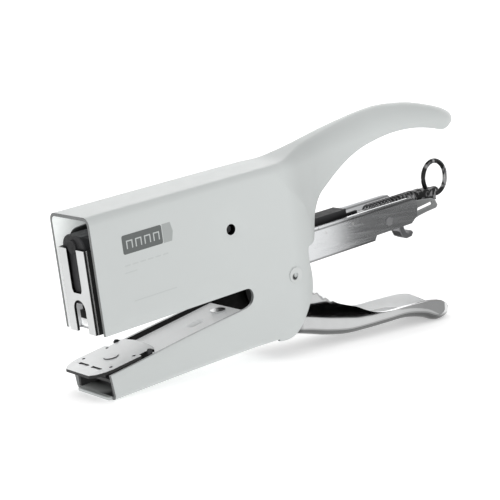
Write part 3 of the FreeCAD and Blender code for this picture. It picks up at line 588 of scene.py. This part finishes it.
# ------------------------------------------------------------------ body sheet
GRIP_TOP = [(0, 0.0), (60, 0.0), (80, 0.0), (84, 0.0), (87, 0.05), (90.5, 0.35), (94.6, 1.25), (102.8, 3.2), (111.1, 4.9), (119.6, 6.5),
            (128.2, 7.85), (136.9, 8.9), (145.6, 9.3), (154.4, 8.6), (163.1, 7.2), (172.0, 4.6),
            (176.0, 3.2), (179.0, 1.9), (181.5, 0.4), (183.3, -1.0), (184.5, -2.2)]
GRIP_BOT = [(98.6, -26.7), (100.3, -22.6), (104.7, -16.7), (109.3, -13.2), (113.9, -10.1), (118.4, -7.5), (122.9, -5.4),
            (127.4, -3.8), (136.2, -2.0), (145.0, -1.1), (153.7, -1.3), (160.7, -2.2), (166.2, -3.5), (169.5, -4.4), (173.8, -5.5),
            (176.0, -5.3), (178.5, -4.6), (180.5, -4.0), (182.5, -3.5), (184.5, -3.1)]
DISH = [(74.5, 2.0), (77.8, -0.8), (80.0, -2.4), (82.4, -5.5), (85.2, -9.1), (88.1, -12.4), (90.6, -14.9), (92.7, -17.3),
        (93.9, -19.8), (94.8, -23.5), (94.9, -27.0), (94.9, -34.0)]
XG = 106.0
dish_poly = np.array(spline(DISH, 0.8))

def dish_d(x, z):
    "distance beyond the dish's edge, 0 on the flat side"
    p = np.array((x, z))
    a, b = dish_poly[:-1], dish_poly[1:]
    ab = b - a
    t = np.clip(((p - a) * ab).sum(1) / (ab * ab).sum(1), 0, 1)
    q = a + t[:, None] * ab
    dd = np.hypot(*(p - q).T)
    i = int(dd.argmin())
    side = ab[i][0] * (p[1] - q[i][1]) - ab[i][1] * (p[0] - q[i][0])
    return dd[i] if side > 0 else 0.0

def body_w(x, z):
    if x >= XG - 1e-6:
        if x < 170.0:
            return 7.75
        u = min((x - 170.0) / 14.62, 1.0)
        return 7.75 * (1 - u ** 2.1) ** (1 / 2.1)
    if x < 73:
        return 12.0
    d = dish_d(x, z)
    if d <= 0:
        return 12.0
    e = XG - x
    t = d / (d + e)
    t = 1.10 * t * t / (t + 0.10)
    return 12.0 - 4.25 * (1 - (1 - min(t, 1.0)) ** 1.9)

def body_r(x):
    r = cr([(0, 3.0), (78, 3.0), (86, 3.2), (94, 4.4), (102, 5.8), (108, 6.2), (172, 6.2), (178, 4.9), (182, 2.6), (184.5, 0.35)], x)
    return min(r, max(cr(GRIP_TOP, x) - cr(GRIP_BOT, x) - 0.3, 0.2)) if x > 170 else r

def zt(x):
    return cr(GRIP_TOP, x) - body_r(x)

top_x = [0, 0.6] + [2 + 4.0 * i for i in range(18)] + [73 + 1.1 * i for i in range(30)] + [XG]
top_x = sorted(set(round(x, 4) for x in top_x if x <= XG))
grip_x = [XG + 1.6 * i for i in range(41)] + [171.5, 173, 174.5, 176, 177.3, 178.5, 179.6, 180.6, 181.5, 182.3, 183.0, 183.6, 184.1, 184.5]
grip_x = sorted(set(round(x, 4) for x in grip_x))

def jaw_r(x):
    return cr([(0.4, 1.8), (56, 1.8), (64, 1.5), (70, 0.8), (74, 0.3)], x)
jaw_x = [0.4, 1.2, 2.0] + [4 + 3.0 * i for i in range(18)] + [57, 59, 61, 63, 65, 67, 69, 71, 72.5, 74]
jaw_x = sorted(set(float(x) for x in jaw_x))

NR = 9
zb_g = cr(GRIP_BOT, XG)
right = [(XG, zt(XG) + (zb_g - zt(XG)) * i / NR) for i in range(NR + 1)]
grip_edge = [(XG, zb_g)] + spline([(XG, zb_g), (104.7, -16.7), (102.3, -19.6), (100.3, -22.6), (98.6, -26.7), (97.5, -29.9), (96.6, -31.4), (95.0, -32.4), (92.9, -33.2)], 1.0)
rear = spline([(92.9, -33.2), (92.45, -35.5), (92.6, -38.9), (93.1, -44.6), (92.5, -49.9), (89.9, -55.6), (86.9, -59.9), (84, -62.9), (81.5, -64.4), (77.8, -65.05),
               (74.6, -64.7), (74.0, -64.55)], 1.2)
jaw_low = [(x, -63.9 + jaw_r(x)) for x in reversed(jaw_x)]
front = line((0.4, -62.1), (-0.3, -54.75), 2.0)
jaw_top = chain([(-0.3, -54.75)], spline([(-0.3, -54.75), (13.6, -53.2), (23.1, -52.0), (36.5, -50.45), (50.3, -49.05), (57.3, -48.4), (60.4, -48.05)], 2.5),
                spline([(60.4, -48.05), (62.4, -47.4), (63.9, -45.9), (64.45, -44.2), (64.1, -42.6), (63.2, -41.4), (61.6, -41.0)], 0.5), line((61.6, -41.0), (0, -41.0), 3.0))
nose = line((0, -41.0), (0, -3.0), 3.0)
outline = chain([(x, zt(x)) for x in top_x], right, grip_edge, rear, [(74.0, -64.2)], jaw_low, front, jaw_top, nose)
hole = [(58.0 + 2.0 * math.cos(a * math.pi / 16), -18.0 + 2.0 * math.sin(a * math.pi / 16)) for a in range(32)]
pv, pf = mesh2d(outline, [hole], [(1.5, 72, -40, -4, 4.0), (2, 72, -61, -49, 3.0), (66, 72, -62, -4, 3.0), (72.5, 106.5, -34, 3.5, 1.1), (73, 94, -64.5, -35, 2.4)])
sh = Sheet()
side_pts = [(x, body_w(x, z), z) for x, z in pv]
sh.both(side_pts, pf, (0, 1, 0))

def arc_rows(x, seg=9):
    "from the web's edge round to the side, as (x, y, z)"
    z0 = zt(x); w = body_w(x, z0); r = body_r(x); ztop = cr(GRIP_TOP, x)
    dz = 0.4
    slope = (body_w(x, z0 - dz) - w) / dz          # outward lean going down
    wr = max(w - r, 0.0)
    k = 0.5523
    p0 = Vector((wr, ztop)); p1 = Vector((wr + (w - wr) * k, ztop))
    p3 = Vector((w, z0)); n = Vector((-slope, 1.0)).normalized()
    p2 = p3 + n * ((ztop - z0) * k)
    out = []
    for i in range(seg + 1):
        t = i / seg
        q = p0 * (1 - t) ** 3 + p1 * 3 * t * (1 - t) ** 2 + p2 * 3 * t * t * (1 - t) + p3 * t ** 3
        out.append((x, q.x, q.y))
    return out

rows = []
for x in top_x + grip_x[1:]:
    a = arc_rows(x)
    wr = a[0][1]
    zc = a[0][2]
    web = [(x, wr * i / 4.0, zc) for i in range(4)]
    rows.append(web + a)
sh.grid(rows, lambda c: Vector((0.15 if c.x > 178 else 0.0, 0.5 if c.y > 0 else -0.5, 1.0)), mirror=True)
rows = []
for x in grip_x:
    z0 = zt(x); zb = cr(GRIP_BOT, x)
    if x >= 184.4:
        zb = min(zb, z0 - 0.2)
    rows.append([(x, body_w(x, z0), z0 + (zb - z0) * i / NR) for i in range(NR + 1)])
sh.grid(rows, (0.3, 1, 0), mirror=True)
# jaw web with its bends, and the front lip
rows = []
for x in jaw_x:
    r = jaw_r(x)
    out = [(x, (12.0 - r) * i / 5.0, -63.9) for i in range(5)]
    for i in range(7):
        a = math.pi / 2 * i / 6
        out.append((x, 12.0 - r + r * math.sin(a), -63.9 + r - r * math.cos(a)))
    rows.append(out)
sh.grid(rows, lambda c: Vector((0, 0.5 if c.y > 0 else -0.5, -1.0)), mirror=True)
body = sh.obj("body_sheet", [M_BODY, M_IN, M_RIM])
solidify(body, 1.2, rim_mat=2).material_offset = 1
bevel(body, 0.16, 2, 50)
lip = Sheet()
lip.grid([[(x, 9.6 * i / 4.0 * k, -63.9) for i in range(5)] for x, k in ((-1.1, 0.96), (-0.6, 1.0), (0.4, 1.0), (2.2, 1.0))], (0, 0, -1), mirror=True)
lipo = lip.obj("jaw_lip", [M_BODY])
solidify(lipo, 1.15)
bevel(lipo, 0.25, 3, 50)
for o in (body, lipo):
    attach(o, "frame")
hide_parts("body_shell")

# ------------------------------------------------------------------ lower handle
LEV_TOP = [(92.0, -46.5), (95, -49.5), (100, -54.2), (104.5, -58.2), (110.2, -61.0), (115.3, -63.1), (119.5, -65.5), (124.6, -67.9),
           (131.5, -69.6), (140, -70.3), (148, -71.0), (155, -71.7), (158.5, -72.5), (161.8, -73.5), (165.1, -75.5), (167.3, -77.0),
           (169.1, -78.6), (170.5, -79.4), (171.4, -79.8)]
LEV_BOT = [(82, -64.9), (84.4, -65.4), (90.7, -67.4), (100.4, -70.7), (110.6, -73.3), (121.2, -74.5), (132, -75.3),
           (143.2, -76.2), (150.0, -77.8), (154.3, -79.3), (157.5, -80.95), (160.3, -81.95), (163.0, -82.25), (166.0, -82.4), (168.5, -82.1),
           (170.5, -81.1), (171.4, -80.3)]
def lev_w(x):
    if x < 154:
        return 9.9
    u = min((x - 154.0) / 17.6, 1.0)
    return 9.9 * (1 - u ** 2.2) ** (1 / 2.2)
def lev_r(x):
    r = cr([(82, 2.4), (88, 3.4), (100, 4.1), (112, 4.2), (150, 4.3), (162, 4.0), (168, 3.0), (171.4, 0.3)], x)
    return min(r, max((cr(LEV_TOP, x) - cr(LEV_BOT, x)) - 0.25, 0.15)) if x > 150 else r
XL = 112.0
lx = [82 + 1.5 * i for i in range(21)]
lx = sorted(set(x for x in lx if x <= XL))
cx = [XL + 1.4 * i for i in range(26)] + [148.4, 150, 151.5, 153, 154.4, 155.8, 157, 158.2, 159.4, 160.6, 161.8, 163.0, 164.2, 165.3, 166.4, 167.4, 168.3, 169.1, 169.8, 170.4, 170.8, 171.1, 171.4]
cx = sorted(set(round(x, 3) for x in cx if x <= 171.4))
def lzt(x):
    return cr(LEV_BOT, x) + lev_r(x)
NL = 8
pin_arc = [(9.0 + 3.9 * math.cos(a), -11.0 + 3.9 * math.sin(a)) for a in [math.pi / 2 + math.pi * i / 16 for i in range(17)]]
top_run = spline([(9.0, -7.1), (20, -6.35), (30, -6.3), (40, -7.4), (50, -9.4), (62, -13.2), (76, -22), (86.0, -28.6), (89.8, -32.6), (91.0, -37), (91.3, -42),
                  (92.4, -46.8), (95, -49.8), (100, -54.2), (104.5, -58.2), (110.2, -61.0), (XL, cr(LEV_TOP, XL))], 1.6)
right = [(XL, cr(LEV_TOP, XL) + (lzt(XL) - cr(LEV_TOP, XL)) * i / NL) for i in range(NL + 1)]
low_run = [(x, lzt(x)) for x in reversed(lx)]
back_run = spline([(82.0, lzt(82)), (79.6, -56.8), (77.4, -52), (76.4, -46), (73, -38.5), (62, -27), (40, -18.2), (24, -15.3), (9.0, -14.9)], 1.8)
outl = chain(top_run, right, low_run, back_run, list(reversed(pin_arc)))
lv, lf = mesh2d(outl, [], [(6, 80, -60, -6, 3.0), (80, 112, -70, -20, 2.0)])
sl = Sheet()
sl.both([(x, 9.9, z) for x, z in lv], lf, (0, 1, 0))
rows = []
for x in lx + cx[1:]:
    w = lev_w(x); r = min(lev_r(x), w * 0.98); zb = cr(LEV_BOT, x); z0 = lzt(x)
    out = [(x, (w - r) * i / 5.0, zb) for i in range(5)]
    for i in range(11):
        a = math.pi / 2 * i / 10
        out.append((x, w - r + r * math.sin(a), zb + (z0 - zb) * (1 - math.cos(a))))
    rows.append(out)
sl.grid(rows, lambda c: Vector((0.2 if c.x > 160 else 0, 0.5 if c.y > 0 else -0.5, -1.0)), mirror=True)
rows = []
for x in cx:
    z1 = cr(LEV_TOP, x); z0 = min(lzt(x), z1 - 0.1)
    rows.append([(x, lev_w(x), z1 + (z0 - z1) * i / NL) for i in range(NL + 1)])
sl.grid(rows, (0.3, 1, 0), mirror=True)
lever = sl.obj("lever_sheet", [M_CHROME])
solidify(lever, 1.4)
bevel(lever, 0.30, 3, 50)
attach(lever, "lever"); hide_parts("lower_handle")

# ------------------------------------------------------------------ printed badge on the near side, plain pictograms only
def decal(name, polys, y0, t, mat):
    "thin flat shapes standing t proud of the side, given as XZ outlines"
    me = bpy.data.meshes.new(name); bm = bmesh.new()
    for pts in polys:
        ar = sum(a[0] * b[1] - b[0] * a[1] for a, b in zip(pts, pts[1:] + pts[:1]))
        if ar < 0:
            pts = list(reversed(pts))
        lo = [bm.verts.new(R(x, y0, z)) for x, z in pts]
        hi = [bm.verts.new(R(x, y0 - t, z)) for x, z in pts]
        bm.faces.new(hi)
        for i in range(len(pts)):
            j = (i + 1) % len(pts)
            bm.faces.new((lo[i], lo[j], hi[j], hi[i]))
        bm.faces.new(list(reversed(lo)))
    bmesh.ops.recalc_face_normals(bm, faces=bm.faces)
    bm.to_mesh(me); bm.free()
    me.materials.append(mat)
    o = bpy.data.objects.new(name, me); scene.collection.objects.link(o)
    return o

def rrect(x0, z0, x1, z1, r=0.5, n=5):
    out = []
    for cx0, cz0, a0 in ((x1 - r, z1 - r, 0), (x0 + r, z1 - r, 90), (x0 + r, z0 + r, 180), (x1 - r, z0 + r, 270)):
        for i in range(n + 1):
            a = math.radians(a0 + 90.0 * i / n)
            out.append((cx0 + r * math.cos(a), cz0 + r * math.sin(a)))
    return out

def staple_icon(x, z, w=2.6, h=2.9, t=0.42):
    return [(x, z), (x + t, z), (x + t, z + h - t), (x + w - t, z + h - t), (x + w - t, z), (x + w, z), (x + w, z + h), (x, z + h)]

M_INK = paint("badge_ink", srgb(92, 96, 95), var=0.10, rough=0.5, coat=0.1)
M_INK2 = paint("badge_ink_pale", srgb(160, 164, 163), var=0.06, rough=0.5, coat=0.1)
M_INK3 = paint("badge_ink_faint", srgb(186, 190, 189), var=0.04, rough=0.5, coat=0.1)
bd = decal("badge_panel", [rrect(11.8, -15.5, 28.4, -8.9, 0.7)], -11.99, 0.05, M_INK)
bd2 = decal("badge_tail", [[(28.7, -15.5), (32.2, -15.5), (33.0, -12.2), (32.2, -8.9), (28.7, -8.9)]], -11.99, 0.05, M_INK2)
bd3 = decal("badge_icons", [staple_icon(13.4 + 3.75 * i, -13.8) for i in range(4)], -12.03, 0.04, M_INK3)
ln = [rrect(11.6 + 3.2 * i, -19.6, 14.0 + 3.2 * i, -19.1, 0.2, 2) for i in range(6)]
ln += [rrect(11.2, -22.0, 16.4, -21.6, 0.18, 2), rrect(13.4, -32.25, 31.6, -31.9, 0.15, 2)]
bd4 = decal("badge_lines", ln, -11.99, 0.03, M_INK3)
for o in (bd, bd2, bd3, bd4):
    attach(o, "frame")

# ------------------------------------------------------------------ tubes along a path
def tube(name, pts, r, mat, seg=10, closed=False, cap=True):
    "round wire along points given in the body frame"
    P = [Vector(p) for p in pts]
    n = len(P)
    me = bpy.data.meshes.new(name); bm = bmesh.new()
    rings = []
    up = None
    for i in range(n):
        if closed:
            t = (P[(i + 1) % n] - P[i - 1]).normalized()
        else:
            t = (P[min(i + 1, n - 1)] - P[max(i - 1, 0)]).normalized()
        if up is None:
            up = Vector((0, 1, 0)) if abs(t.y) < 0.9 else Vector((0, 0, 1))
        up = (up - t * up.dot(t)).normalized()
        s = t.cross(up)
        rr = r(i / (n - 1)) if callable(r) else r
        rings.append([bm.verts.new(R(*(P[i] + (up * math.cos(2 * math.pi * k / seg) + s * math.sin(2 * math.pi * k / seg)) * rr))) for k in range(seg)])
    for i in range(n if closed else n - 1):
        a, b = rings[i], rings[(i + 1) % n]
        for k in range(seg):
            bm.faces.new((a[k], a[(k + 1) % seg], b[(k + 1) % seg], b[k]))
    if cap and not closed:
        bm.faces.new(list(reversed(rings[0]))); bm.faces.new(rings[-1])
    bmesh.ops.recalc_face_normals(bm, faces=bm.faces)
    for f in bm.faces:
        f.smooth = True
    bm.to_mesh(me); bm.free()
    o = bpy.data.objects.new(name, me); scene.collection.objects.link(o)
    me.materials.append(mat)
    return o

def helix(p0, p1, rad, turns, per=20, phase=0.0, flat=1.0, soft=True):
    """points of a coil from p0 to p1, at an even pitch"""
    a, b = Vector(p0), Vector(p1)
    ax = (b - a).normalized()
    u = Vector((0, 1, 0)); v = ax.cross(u).normalized()
    out = []
    n = int(turns * per)
    for i in range(n + 1):
        t = i / n
        s = t
        if soft:
            e = 1.3 / turns
            s = t - math.sin(2 * math.pi * t) * 0.0
        ang = phase + 2 * math.pi * turns * t
        rr = rad(t) if callable(rad) else rad
        out.append(tuple(a + ax * ((b - a).length * s) + (u * math.cos(ang) + v * math.sin(ang)) * rr))
    return out

ROD_Z = -31.0
sp = tube("pusher_coil", helix((14.4, 0, ROD_Z), (123.8, 0, ROD_Z), 1.95, 60, 16), 0.40, M_SPRING, 8)
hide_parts("pusher_spring")
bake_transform(sp)

p0 = Vector((58.0, 0, -18.0)); p1 = Vector((80.9, 0, -9.4))
u = (p1 - p0).normalized(); L = (p1 - p0).length
v = u.cross(Vector((0, 1, 0)))
eye0 = [tuple(p0 + u * (1.75 * math.cos(a)) + v * (1.75 * math.sin(a))) for a in [math.radians(30 + 300 * i / 18) for i in range(19)]]
coil = helix(tuple(p0 + u * 4.6), tuple(p0 + u * (L - 4.4)), 2.35, 15, 18)
eye1 = [tuple(p1 - u * (1.45 * math.cos(a)) + v * (1.45 * math.sin(a))) for a in [math.radians(330 - 300 * i / 18) for i in range(19)]]
path = list(reversed(eye0)) + coil + eye1
rs = tube("return_coil", path, 0.42, M_RSPRING, 8)
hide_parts("return_spring")
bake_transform(rs)

# pull ring
ring_pts = []
for i in range(56):
    a = 2 * math.pi * i / 56
    t = math.radians(82)
    ca, sa = 6.8 * math.cos(a), 6.3 * math.sin(a)
    ring_pts.append((173.7 + ca * math.cos(t) + sa * math.sin(t), 0.0, -25.8 - ca * math.sin(t) + sa * math.cos(t)))
ring = tube("pull_ring_wire", ring_pts, 0.95, M_RING, 12, closed=True)
ferr = tube("ring_ferrule", [(170.6, 0, ROD_Z), (171.2, 0, ROD_Z), (172.2, 0, ROD_Z), (173.2, 0, ROD_Z), (174.1, 0, ROD_Z), (174.7, 0, ROD_Z)],
            lambda t: [1.75, 1.75, 1.7, 1.7, 1.4, 0.8][min(5, int(round(t * 5)))], M_RING, 14)
for o in (ring, ferr):
    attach(o, "rod")
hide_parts("pull_ring")
slv = tube("sleeve_coil", helix((135.2, 0, ROD_Z), (160.4, 0, ROD_Z), 2.5, 14, 18), 0.44, M_SPRING, 8)
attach(slv, "rod"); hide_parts("rod_sleeve")

# ------------------------------------------------------------------ finishes on the carried-over CAD nodes
FIN = {
    "pivot_studs": M_STUD, "pivot_washers": M_RIVET, "anvil_bed": M_BED, "anvil_base": M_BASE, "anvil_rivets": M_RIVET, "anvil_clip": M_BLACK,
    "spring_anchor": M_RIVET, "anchor_pin": M_RIVET, "lever_stop": M_BLACK, "drive_pin": M_RIVET, "spring_pin": M_BLACK,
    "magazine_channel": M_MAG, "staple_core": M_CORE, "head_plate": M_HEAD, "head_rivets": M_RIVET, "guide_block": M_BLACK,
    "guide_rivets": M_RIVET, "rear_bracket": M_ZINC, "bracket_rivets": M_MRIV, "catch_pin": M_RIVET, "catch_hook": M_HOOK,
    "driver_blade": M_BLACK, "driver_head": M_BLACK, "pusher_rod": M_RIVET, "rod_sleeve": M_SPRING, "rod_end_piece": M_ENDP,
    "pusher": M_BLACK, "anvil_plate": M_PLATE,
}
BEV = {"anvil_plate": 0.18, "head_plate": 0.12, "guide_block": 0.3, "rear_bracket": 0.15, "magazine_channel": 0.12, "catch_hook": 0.2,
       "anvil_bed": 0.15, "anvil_base": 0.15, "anvil_clip": 0.12, "rod_end_piece": 0.25, "driver_head": 0.3, "driver_blade": 0.1}
for n, o in NODES.items():
    if o.hide_render:
        continue
    m = FIN.get(n, M_RIVET)
    if not o.data.materials:
        o.data.materials.append(m)
    for s in o.material_slots:
        s.link = "OBJECT"; s.material = m
    if n in BEV:
        bevel(o, BEV[n], 2, 35, weld=0.000004)

# ------------------------------------------------------------------ floor, lights, camera
def stage_mat(name, col, rough=0.9):
    m, nt, b = nodes_of(name)
    v = coords(nt)
    n1 = noise_tex(nt, v, 6.0, 3.0, 0.5)
    nt.links.new(ramp(nt, n1, [(0.3, tuple(c * 0.992 for c in col)), (0.7, col)]), b.inputs["Base Color"])
    b.inputs["Roughness"].default_value = rough
    return m

def plane(name, cen, ux, uy, mat):
    me = bpy.data.meshes.new(name)
    c = Vector(cen); ux = Vector(ux); uy = Vector(uy)
    me.from_pydata([c - ux - uy, c + ux - uy, c + ux + uy, c - ux + uy], [], [(0, 1, 2, 3)])
    me.materials.append(mat)
    o = bpy.data.objects.new(name, me); scene.collection.objects.link(o)
    return o

m_floor = stage_mat("floor_paper", (0.90, 0.90, 0.90))
m_floor.node_tree.nodes["Principled BSDF"].inputs["Emission Color"].default_value = (1, 1, 1, 1)
m_floor.node_tree.nodes["Principled BSDF"].inputs["Emission Strength"].default_value = 0.44
m_floor.node_tree.nodes["Principled BSDF"].inputs["Specular IOR Level"].default_value = 0.0
floor = plane("floor", (0, 0, 0), (6, 0, 0), (0, 6, 0), m_floor)
m_back = stage_mat("backdrop_paper", (0.90, 0.90, 0.90))
m_back.node_tree.nodes["Principled BSDF"].inputs["Emission Color"].default_value = (1, 1, 1, 1)
m_back.node_tree.nodes["Principled BSDF"].inputs["Emission Strength"].default_value = 0.7
back_wall = plane("backdrop", (3.0, 3.9, 0.5), (4.7, -3.6, 0), (0, 0, 3.0), m_back)
for k, (c, u) in enumerate((((-3.9, 3.0, 0.5), (3.6, 4.7, 0)), ((-3.0, -3.9, 0.5), (-4.7, 3.6, 0)), ((3.9, -3.0, 0.5), (-3.6, -4.7, 0)))):
    o = plane("backdrop_%d" % (k + 2), c, u, (0, 0, 3.0), m_back)
    o.visible_diffuse = False; o.visible_glossy = False; o.visible_shadow = False; o.visible_transmission = False
m_dark, nt, b = nodes_of("card_black")
b.inputs["Base Color"].default_value = (0.0, 0.0, 0.0, 1); b.inputs["Roughness"].default_value = 1.0
b.inputs["Specular IOR Level"].default_value = 0.0
def card(name, cen, ux, uy):
    o = plane(name, cen, ux, uy, m_dark)
    o.visible_camera = False; o.visible_diffuse = False; o.visible_shadow = False; o.visible_transmission = False
    return o

def area(name, loc, target, size, size_y, power, col=(1, 1, 1)):
    l = bpy.data.lights.new(name, "AREA")
    l.shape = "RECTANGLE"; l.size = size; l.size_y = size_y; l.energy = power; l.color = col
    o = bpy.data.objects.new(name, l); scene.collection.objects.link(o)
    o.location = loc
    o.rotation_euler = (Vector(target) - Vector(loc)).to_track_quat("-Z", "Y").to_euler()
    return o

def grey_card(name, cen, hx, hz, val):
    "glossy-only card facing the near side, given in the body frame (mm)"
    m, nt, b = nodes_of(name + "_m")
    b.inputs["Base Color"].default_value = (0, 0, 0, 1); b.inputs["Specular IOR Level"].default_value = 0.0
    b.inputs["Emission Color"].default_value = (1, 1, 1, 1); b.inputs["Emission Strength"].default_value = val
    o = plane(name, R(*cen), Vector(DR(hx / 1000.0, 0, 0)), Vector(DR(0, 0, hz / 1000.0)), m)
    o.visible_camera = False; o.visible_diffuse = False; o.visible_shadow = False; o.visible_transmission = False
    return o

def poly_card(name, pts, val):
    "glossy-only card of any outline, its corners given in the body frame (mm)"
    m, nt, b = nodes_of(name + "_m")
    b.inputs["Base Color"].default_value = (0, 0, 0, 1); b.inputs["Specular IOR Level"].default_value = 0.0
    b.inputs["Emission Color"].default_value = (1, 1, 1, 1); b.inputs["Emission Strength"].default_value = val
    me = bpy.data.meshes.new(name)
    me.from_pydata([R(*q) for q in pts], [], [tuple(range(len(pts)))])
    me.materials.append(m)
    o = bpy.data.objects.new(name, me); scene.collection.objects.link(o)
    o.visible_camera = False; o.visible_diffuse = False; o.visible_shadow = False; o.visible_transmission = False
    return o

wall = [(88.5, -60.5), (92.4, -56.4), (97.9, -57.2), (104, -58.0), (109, -56.0), (136, -65.0), (136, -71.3), (125, -70.3), (117.2, -69.1), (103, -65.2), (95, -62.6)]
poly_card("card_lever", [(x + 11.7, -24.9, z - 4.74) for x, z in wall], 0.0)
def floor_card(name, x0, x1, y0, y1, val, h=0.4):
    "flat card just above the floor, given in row millimetres"
    m, nt, b = nodes_of(name + "_m")
    b.inputs["Base Color"].default_value = (0, 0, 0, 1); b.inputs["Specular IOR Level"].default_value = 0.0
    b.inputs["Emission Color"].default_value = (1, 1, 1, 1); b.inputs["Emission Strength"].default_value = val
    o = plane(name, ((x0 + x1) / 2000, (y0 + y1) / 2000, h / 1000), ((x1 - x0) / 2000, 0, 0), (0, (y1 - y0) / 2000, 0), m)
    o.visible_camera = False; o.visible_diffuse = False; o.visible_shadow = False; o.visible_transmission = False
    return o
floor_card("card_floor_a", -5, 80, -110, -9.5, 0.70)
floor_card("card_floor_b", 80, 190, -110, -9.5, 0.42)
floor_card("card_floor_c", 15, 160, 3, 60, 0.10)
poly_card("card_right", [(215, -70, -92), (215, 60, -92), (215, 60, -45), (215, -70, -45)], 0.40)
grey_card("card_mag", (150.0 + 31.2, -7.4 - 40.0, -34.5 - 12.6), 32.0, 16.0, 0.16)
area("key", (-0.35, -0.85, 0.75), (0, 0, 0.03), 0.9, 0.9, 0.57)
area("top", (-0.35, 0.05, 1.1), (-0.04, 0, 0.05), 0.7, 0.7, 0.82)
area("fill", (0.9, -0.8, 0.4), (0.03, 0, 0.03), 0.8, 0.8, 0.50)
area("back", (0.1, 0.9, 0.9), (0, 0, 0.03), 1.0, 0.8, 0.5)
area("nose", (-0.50, -0.12, 0.10), (-0.06, 0, 0.045), 0.22, 0.22, 0.06)
w = bpy.data.worlds.new("studio"); scene.world = w; w.use_nodes = True
w.node_tree.nodes["Background"].inputs["Color"].default_value = (1, 1, 1, 1)
w.node_tree.nodes["Background"].inputs["Strength"].default_value = 0.70
scene.view_settings.view_transform = "Standard"

# camera
az, el, roll = math.radians(-37.99), math.radians(14.07), math.radians(7.18)
back = Vector((math.sin(az) * math.cos(el), -math.cos(az) * math.cos(el), math.sin(el)))
fwd = -back
right_v = fwd.cross(Vector((0, 0, 1))).normalized()
down = fwd.cross(right_v)
R2 = right_v * math.cos(roll) + down * math.sin(roll)
D2 = -right_v * math.sin(roll) + down * math.cos(roll)
cx_, up_, bk_ = DR(*R2), DR(*(-D2)), DR(*back)
loc = R(-257.98546608, -414.0005559 - 12.0, 104.25443263)
cam = bpy.data.cameras.new("camera"); cam.sensor_width = 36.0; cam.lens = 108.796
co = bpy.data.objects.new("camera", cam); scene.collection.objects.link(co)
co.matrix_world = Matrix(((cx_.x, up_.x, bk_.x, loc.x), (cx_.y, up_.y, bk_.y, loc.y), (cx_.z, up_.z, bk_.z, loc.z), (0, 0, 0, 1)))
scene.camera = co

bpy.context.view_layer.update()
